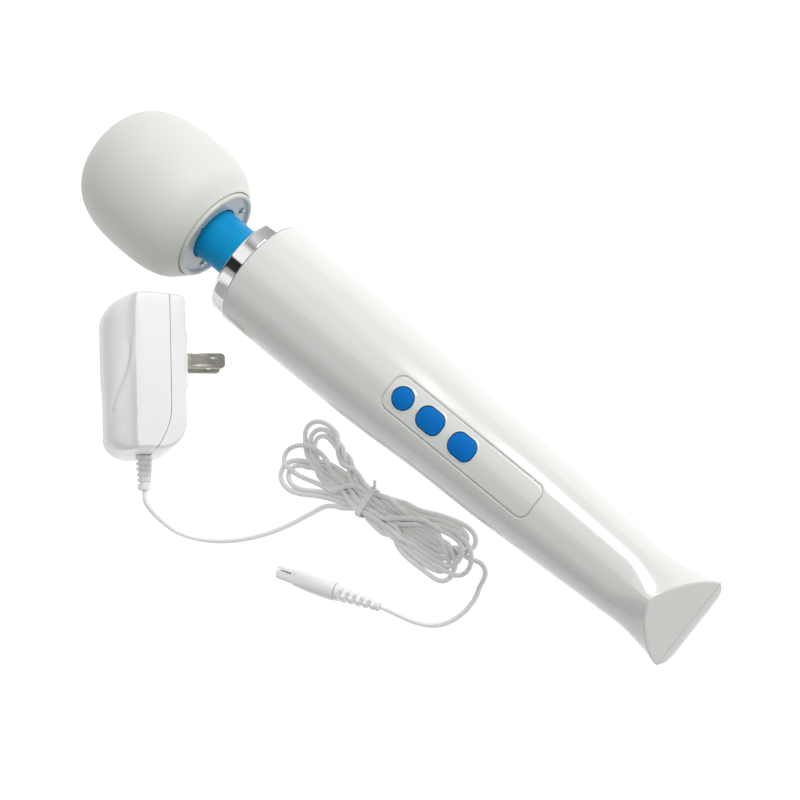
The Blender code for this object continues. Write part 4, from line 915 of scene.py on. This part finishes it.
def build_adapter():
    """The adapter's two shells, cut from the same solid at the parting line, and its blades."""
    reach, gap = 0.06, 0.00012
    case = adapter_solid("adapter_back")
    cover = adapter_solid("adapter_wall_side")
    heights = np.linspace(-0.045, 0.045, 61)
    line = [(float(seam_p(q)), float(q)) for q in heights]
    back_side = [(p - gap, q) for p, q in line] + [(-reach, heights[-1]), (-reach, heights[0])]
    wall_side = [(p + gap, q) for p, q in line][::-1] + [(reach, heights[0]), (reach, heights[-1])]
    carve(case, [prism_cutter("back_side", back_side, -0.02, reach, ADAPTER)], 'INTERSECT')
    carve(cover, [prism_cutter("wall_side", wall_side, -0.02, reach, ADAPTER)], 'INTERSECT')
    middle = ADAPTER_WIDTH / 2
    boss = raised_plate("boss", BOSS_P, (PRONG_Q, middle), (0.0130, 0.0135), 0.0020, 0.0007)
    carve(cover, [boss], 'UNION')
    for name, side in (("prong_left", -1), ("prong_right", 1)):
        height = middle + side * PRONG_SPREAD / 2
        build_prong(name, height)
        half_q, half_z = PRONG_HALF_WIDTH + 0.0002, PRONG_THICK / 2 + 0.0002
        low = (PRONG_ROOT_P - 0.001, PRONG_Q - half_q, height - half_z)
        carve(cover, [block_cutter("prong_slot", low, (0.03, PRONG_Q + half_q, height + half_z), ADAPTER)])
    for vertex in cover.data.vertices:      # the edge it rests on is flat
        vertex.co.z = max(vertex.co.z, 0.0001)
    settle(case, "charger", "adapter_back_case")
    settle(cover, "charger", "adapter_wall_cover")


def raised_plate(name, span, centre, half, corner, edge):
    """A plate with round corners and edges, its faces across the adapter's p axis."""
    layers = [(span[0], 0.0), (span[1] - edge, 0.0)]
    for degrees in (30, 60, 90):
        a = math.radians(degrees)
        layers.append((span[1] - edge + edge * math.sin(a), -edge * (1 - math.cos(a))))
    vertices = []
    for p, growth in layers:
        outline = rounded_outline(half[0] + growth, half[1] + growth, corner + growth, centre)
        vertices += [(p, q, z) for q, z in outline]
    faces = capped_faces(len(layers), len(outline))
    return add_piece(name, vertices, faces, "white", ADAPTER)


def build_prong(name, height):
    """A mains blade with a round tip, an eye, and softened edges."""
    tip, round_tip = BOSS_P[1] + PRONG_LENGTH, 0.0018
    low, high = PRONG_Q - PRONG_HALF_WIDTH, PRONG_Q + PRONG_HALF_WIDTH
    outline = [(PRONG_ROOT_P, low)] + arc((tip - round_tip, low + round_tip), round_tip, 270, 360, 10)
    outline += arc((tip - round_tip, high - round_tip), round_tip, 0, 90, 10) + [(PRONG_ROOT_P, high)]
    blade = prism_cutter(name + "_blade", outline, height - PRONG_THICK / 2, height + PRONG_THICK / 2,
                         ADAPTER)
    blade.data.materials.append(FINISH["nickel"])
    eye = arc((BOSS_P[1] + PRONG_EYE, PRONG_Q), PRONG_EYE_RADIUS, 0, 345, 23)
    carve(blade, [prism_cutter("eye", eye, height - 0.005, height + 0.005, ADAPTER)])
    soft = blade.modifiers.new("soft_edges", 'BEVEL')
    soft.width = 0.0002
    soft.segments = 2
    soft.limit_method = 'ANGLE'
    bake(blade)
    settle(blade, "charger", name)


def build_relief(name, length, wide, narrow, slots, sides, matrix, node):
    """A tapered sleeve up its own Z axis, with slots cut from one side, or from two in turn."""
    around = np.linspace(0, 2 * math.pi, 72, endpoint=False)
    vertices, stops = [], np.linspace(0, length, 181)
    for z in stops:
        share = z / length
        base = wide + (narrow - wide) * share ** 0.9
        radius = np.full(len(around), base)
        for side in range(sides):
            phase = (share - 0.10) / 0.80 * slots - 0.5 * side
            inside = 0 < (share - 0.10) / 0.80 < 1 and 0 <= phase < slots
            pulse = max(0.0, math.sin(2 * math.pi * (phase % 1.0))) ** 0.4 if inside else 0.0
            facing = np.clip(np.cos(around - math.pi * side) * 2.2 + 0.9, 0, 1)
            radius -= 0.30 * base * pulse * facing
        end = min(z, length - z)
        radius -= 0.0003 * (1 - math.sqrt(1 - (1 - min(end / 0.0003, 1.0)) ** 2))
        vertices += [(r * math.cos(a), r * math.sin(a), z) for r, a in zip(radius, around)]
    faces = capped_faces(len(stops), len(around))
    return settle(add_piece(name, vertices, faces, "white", matrix, 40), "charger", node)


def build_plug():
    """The plug's body: an oval grip that narrows to a flat-sided barrel with a bore."""
    sections = np.array((   # share of the length, half width, half height, section power
        (0.0, 0.0040, 0.0040, 2.0), (0.05, 0.0043, 0.0042, 2.0), (0.25, 0.0044, 0.0043, 2.2),
        (0.45, 0.0042, 0.0040, 2.4), (0.60, 0.0038, 0.0035, 2.8), (0.68, 0.0036, 0.0032, 3.6),
        (0.70, 0.0032, 0.0028, 4.0), (0.75, 0.0031, 0.0027, 4.0), (0.96, 0.0030, 0.0026, 4.0),
        (0.99, 0.0028, 0.0024, 4.0), (1.0, 0.0025, 0.0021, 4.0)))
    around = np.linspace(0, 2 * math.pi, 72, endpoint=False)
    c, s = np.cos(around), np.sin(around)
    vertices, stops = [], np.linspace(0, 1, 121)
    for share in stops:
        half_width, half_height, power = (np.interp(share, sections[:, 0], sections[:, k]) for k in (1, 2, 3))
        x = PLUG_RELIEF + GAP + share * PLUG_BODY
        y = half_width * np.sign(c) * np.abs(c) ** (2 / power)
        z = half_height * np.sign(s) * np.abs(s) ** (2 / power)
        vertices += [(x, a, b) for a, b in zip(y, z)]
    faces = capped_faces(len(stops), len(around))
    body = add_piece("plug_grip", vertices, faces, "white", PLUG, 40)
    tip = PLUG_RELIEF + GAP + PLUG_BODY
    bore, lines = lathe([(0, tip + 0.001), (PLUG_BORE, tip + 0.001), (PLUG_BORE, tip - 0.0075),
                         (0, tip - 0.0075)], 40)
    slot = block_cutter("tip_slot", (tip - 0.0070, -0.0011, 0.0), (tip + 0.001, -0.0006, 0.0040), PLUG)
    carve(body, [add_piece("bore", bore, lines, None, PLUG), slot])
    settle(body, "charger", "plug_body")
    return body


def build_tie():
    """The tie: a flat band round the hank's waist, and its two ends twisted together."""
    half_length, thick, side = 0.0011, 0.0007, 0.0063
    low, high = 0.0001, 0.0088
    ring = rounded_outline(side + thick, (high - low) / 2, 0.0022, (0.0, (low + high) / 2), 10)
    inner = rounded_outline(side, (high - low) / 2 - thick, 0.0015, (0.0, (low + high) / 2), 10)
    count = len(ring)
    vertices, soft = [], 0.00018
    loops = ((ring, half_length - soft, 0.0), (ring, -half_length + soft, 0.0), (ring, -half_length, soft),
             (inner, -half_length, 0.0), (inner, half_length, 0.0), (ring, half_length, soft))
    for outline, s, pull in loops:
        for w, z in outline:
            length = math.hypot(w, z - (low + high) / 2)
            shrink = 1 - pull / length
            vertices.append((s, w * shrink, (low + high) / 2 + (z - (low + high) / 2) * shrink))
    faces = grid_faces(len(loops), count)
    faces += [(5 * count + j, 5 * count + (j + 1) % count, (j + 1) % count, j) for j in range(count)]
    steps, radius, turns, tail = 40, 0.00055, 2.5, 0.0065
    for strand in (0, 1):
        start = len(vertices)
        for i in range(steps + 1):
            share = i / steps
            angle = 2 * math.pi * turns * share + math.pi * strand
            middle = Vector((0.0010 * share, -side - 0.0002 - tail * 0.55 * share,
                             0.0068 + tail * 0.45 * share))
            middle += radius * Vector((math.cos(angle), 0.4 * math.sin(angle), math.sin(angle)))
            flat, deep = 0.00075, 0.00028
            for k in range(8):
                a = math.pi * k / 4
                out = flat * math.cos(a) * Vector((math.cos(angle), 0, math.sin(angle)))
                out += deep * math.sin(a) * Vector((-math.sin(angle), 0, math.cos(angle)))
                vertices.append(tuple(middle + out))
        faces += capped_faces(steps + 1, 8, start)
    return settle(add_piece("hank_tie", vertices, faces, "cord", HANK, 40), "charger", "cord_tie")


def dress_frame():
    """Give every CAD node that still shows its procedural finish."""
    for part in frame["record"]["subparts"]:
        for place in frame["nodes"][part["node"]].material_slots:
            place.material = FINISH[part["material_slot"]]


build_camera()
build_lights()
build_floor()
FINISH = build_finishes()
dress_frame()
cord = build_cord()
build_casing()
build_panel()
for button in BUTTONS:
    build_button(*button)
build_collar()
build_boot()
build_head()
build_adapter()
middle = (*RELIEF_BASE, ADAPTER_WIDTH / 2)
adapter_relief = build_relief("adapter_relief", RELIEF_LENGTH, 0.0037, 0.0026, 5, 1,
                              ADAPTER @ Matrix.Translation(middle) @ Matrix.Rotation(math.pi / 2, 4, 'X')
                              @ Matrix.Rotation(math.radians(150), 4, 'Z'), "adapter_strain_relief")
plug_relief = build_relief("plug_relief", PLUG_RELIEF, 0.0040, 0.0021, 5, 2,
                           PLUG @ Matrix.Translation((PLUG_RELIEF, 0, 0))
                           @ Matrix.Rotation(-math.pi / 2, 4, 'Y')
                           @ Matrix.Rotation(math.radians(90), 4, 'Z'), "plug_strain_relief")
plug = build_plug()
tie = build_tie()
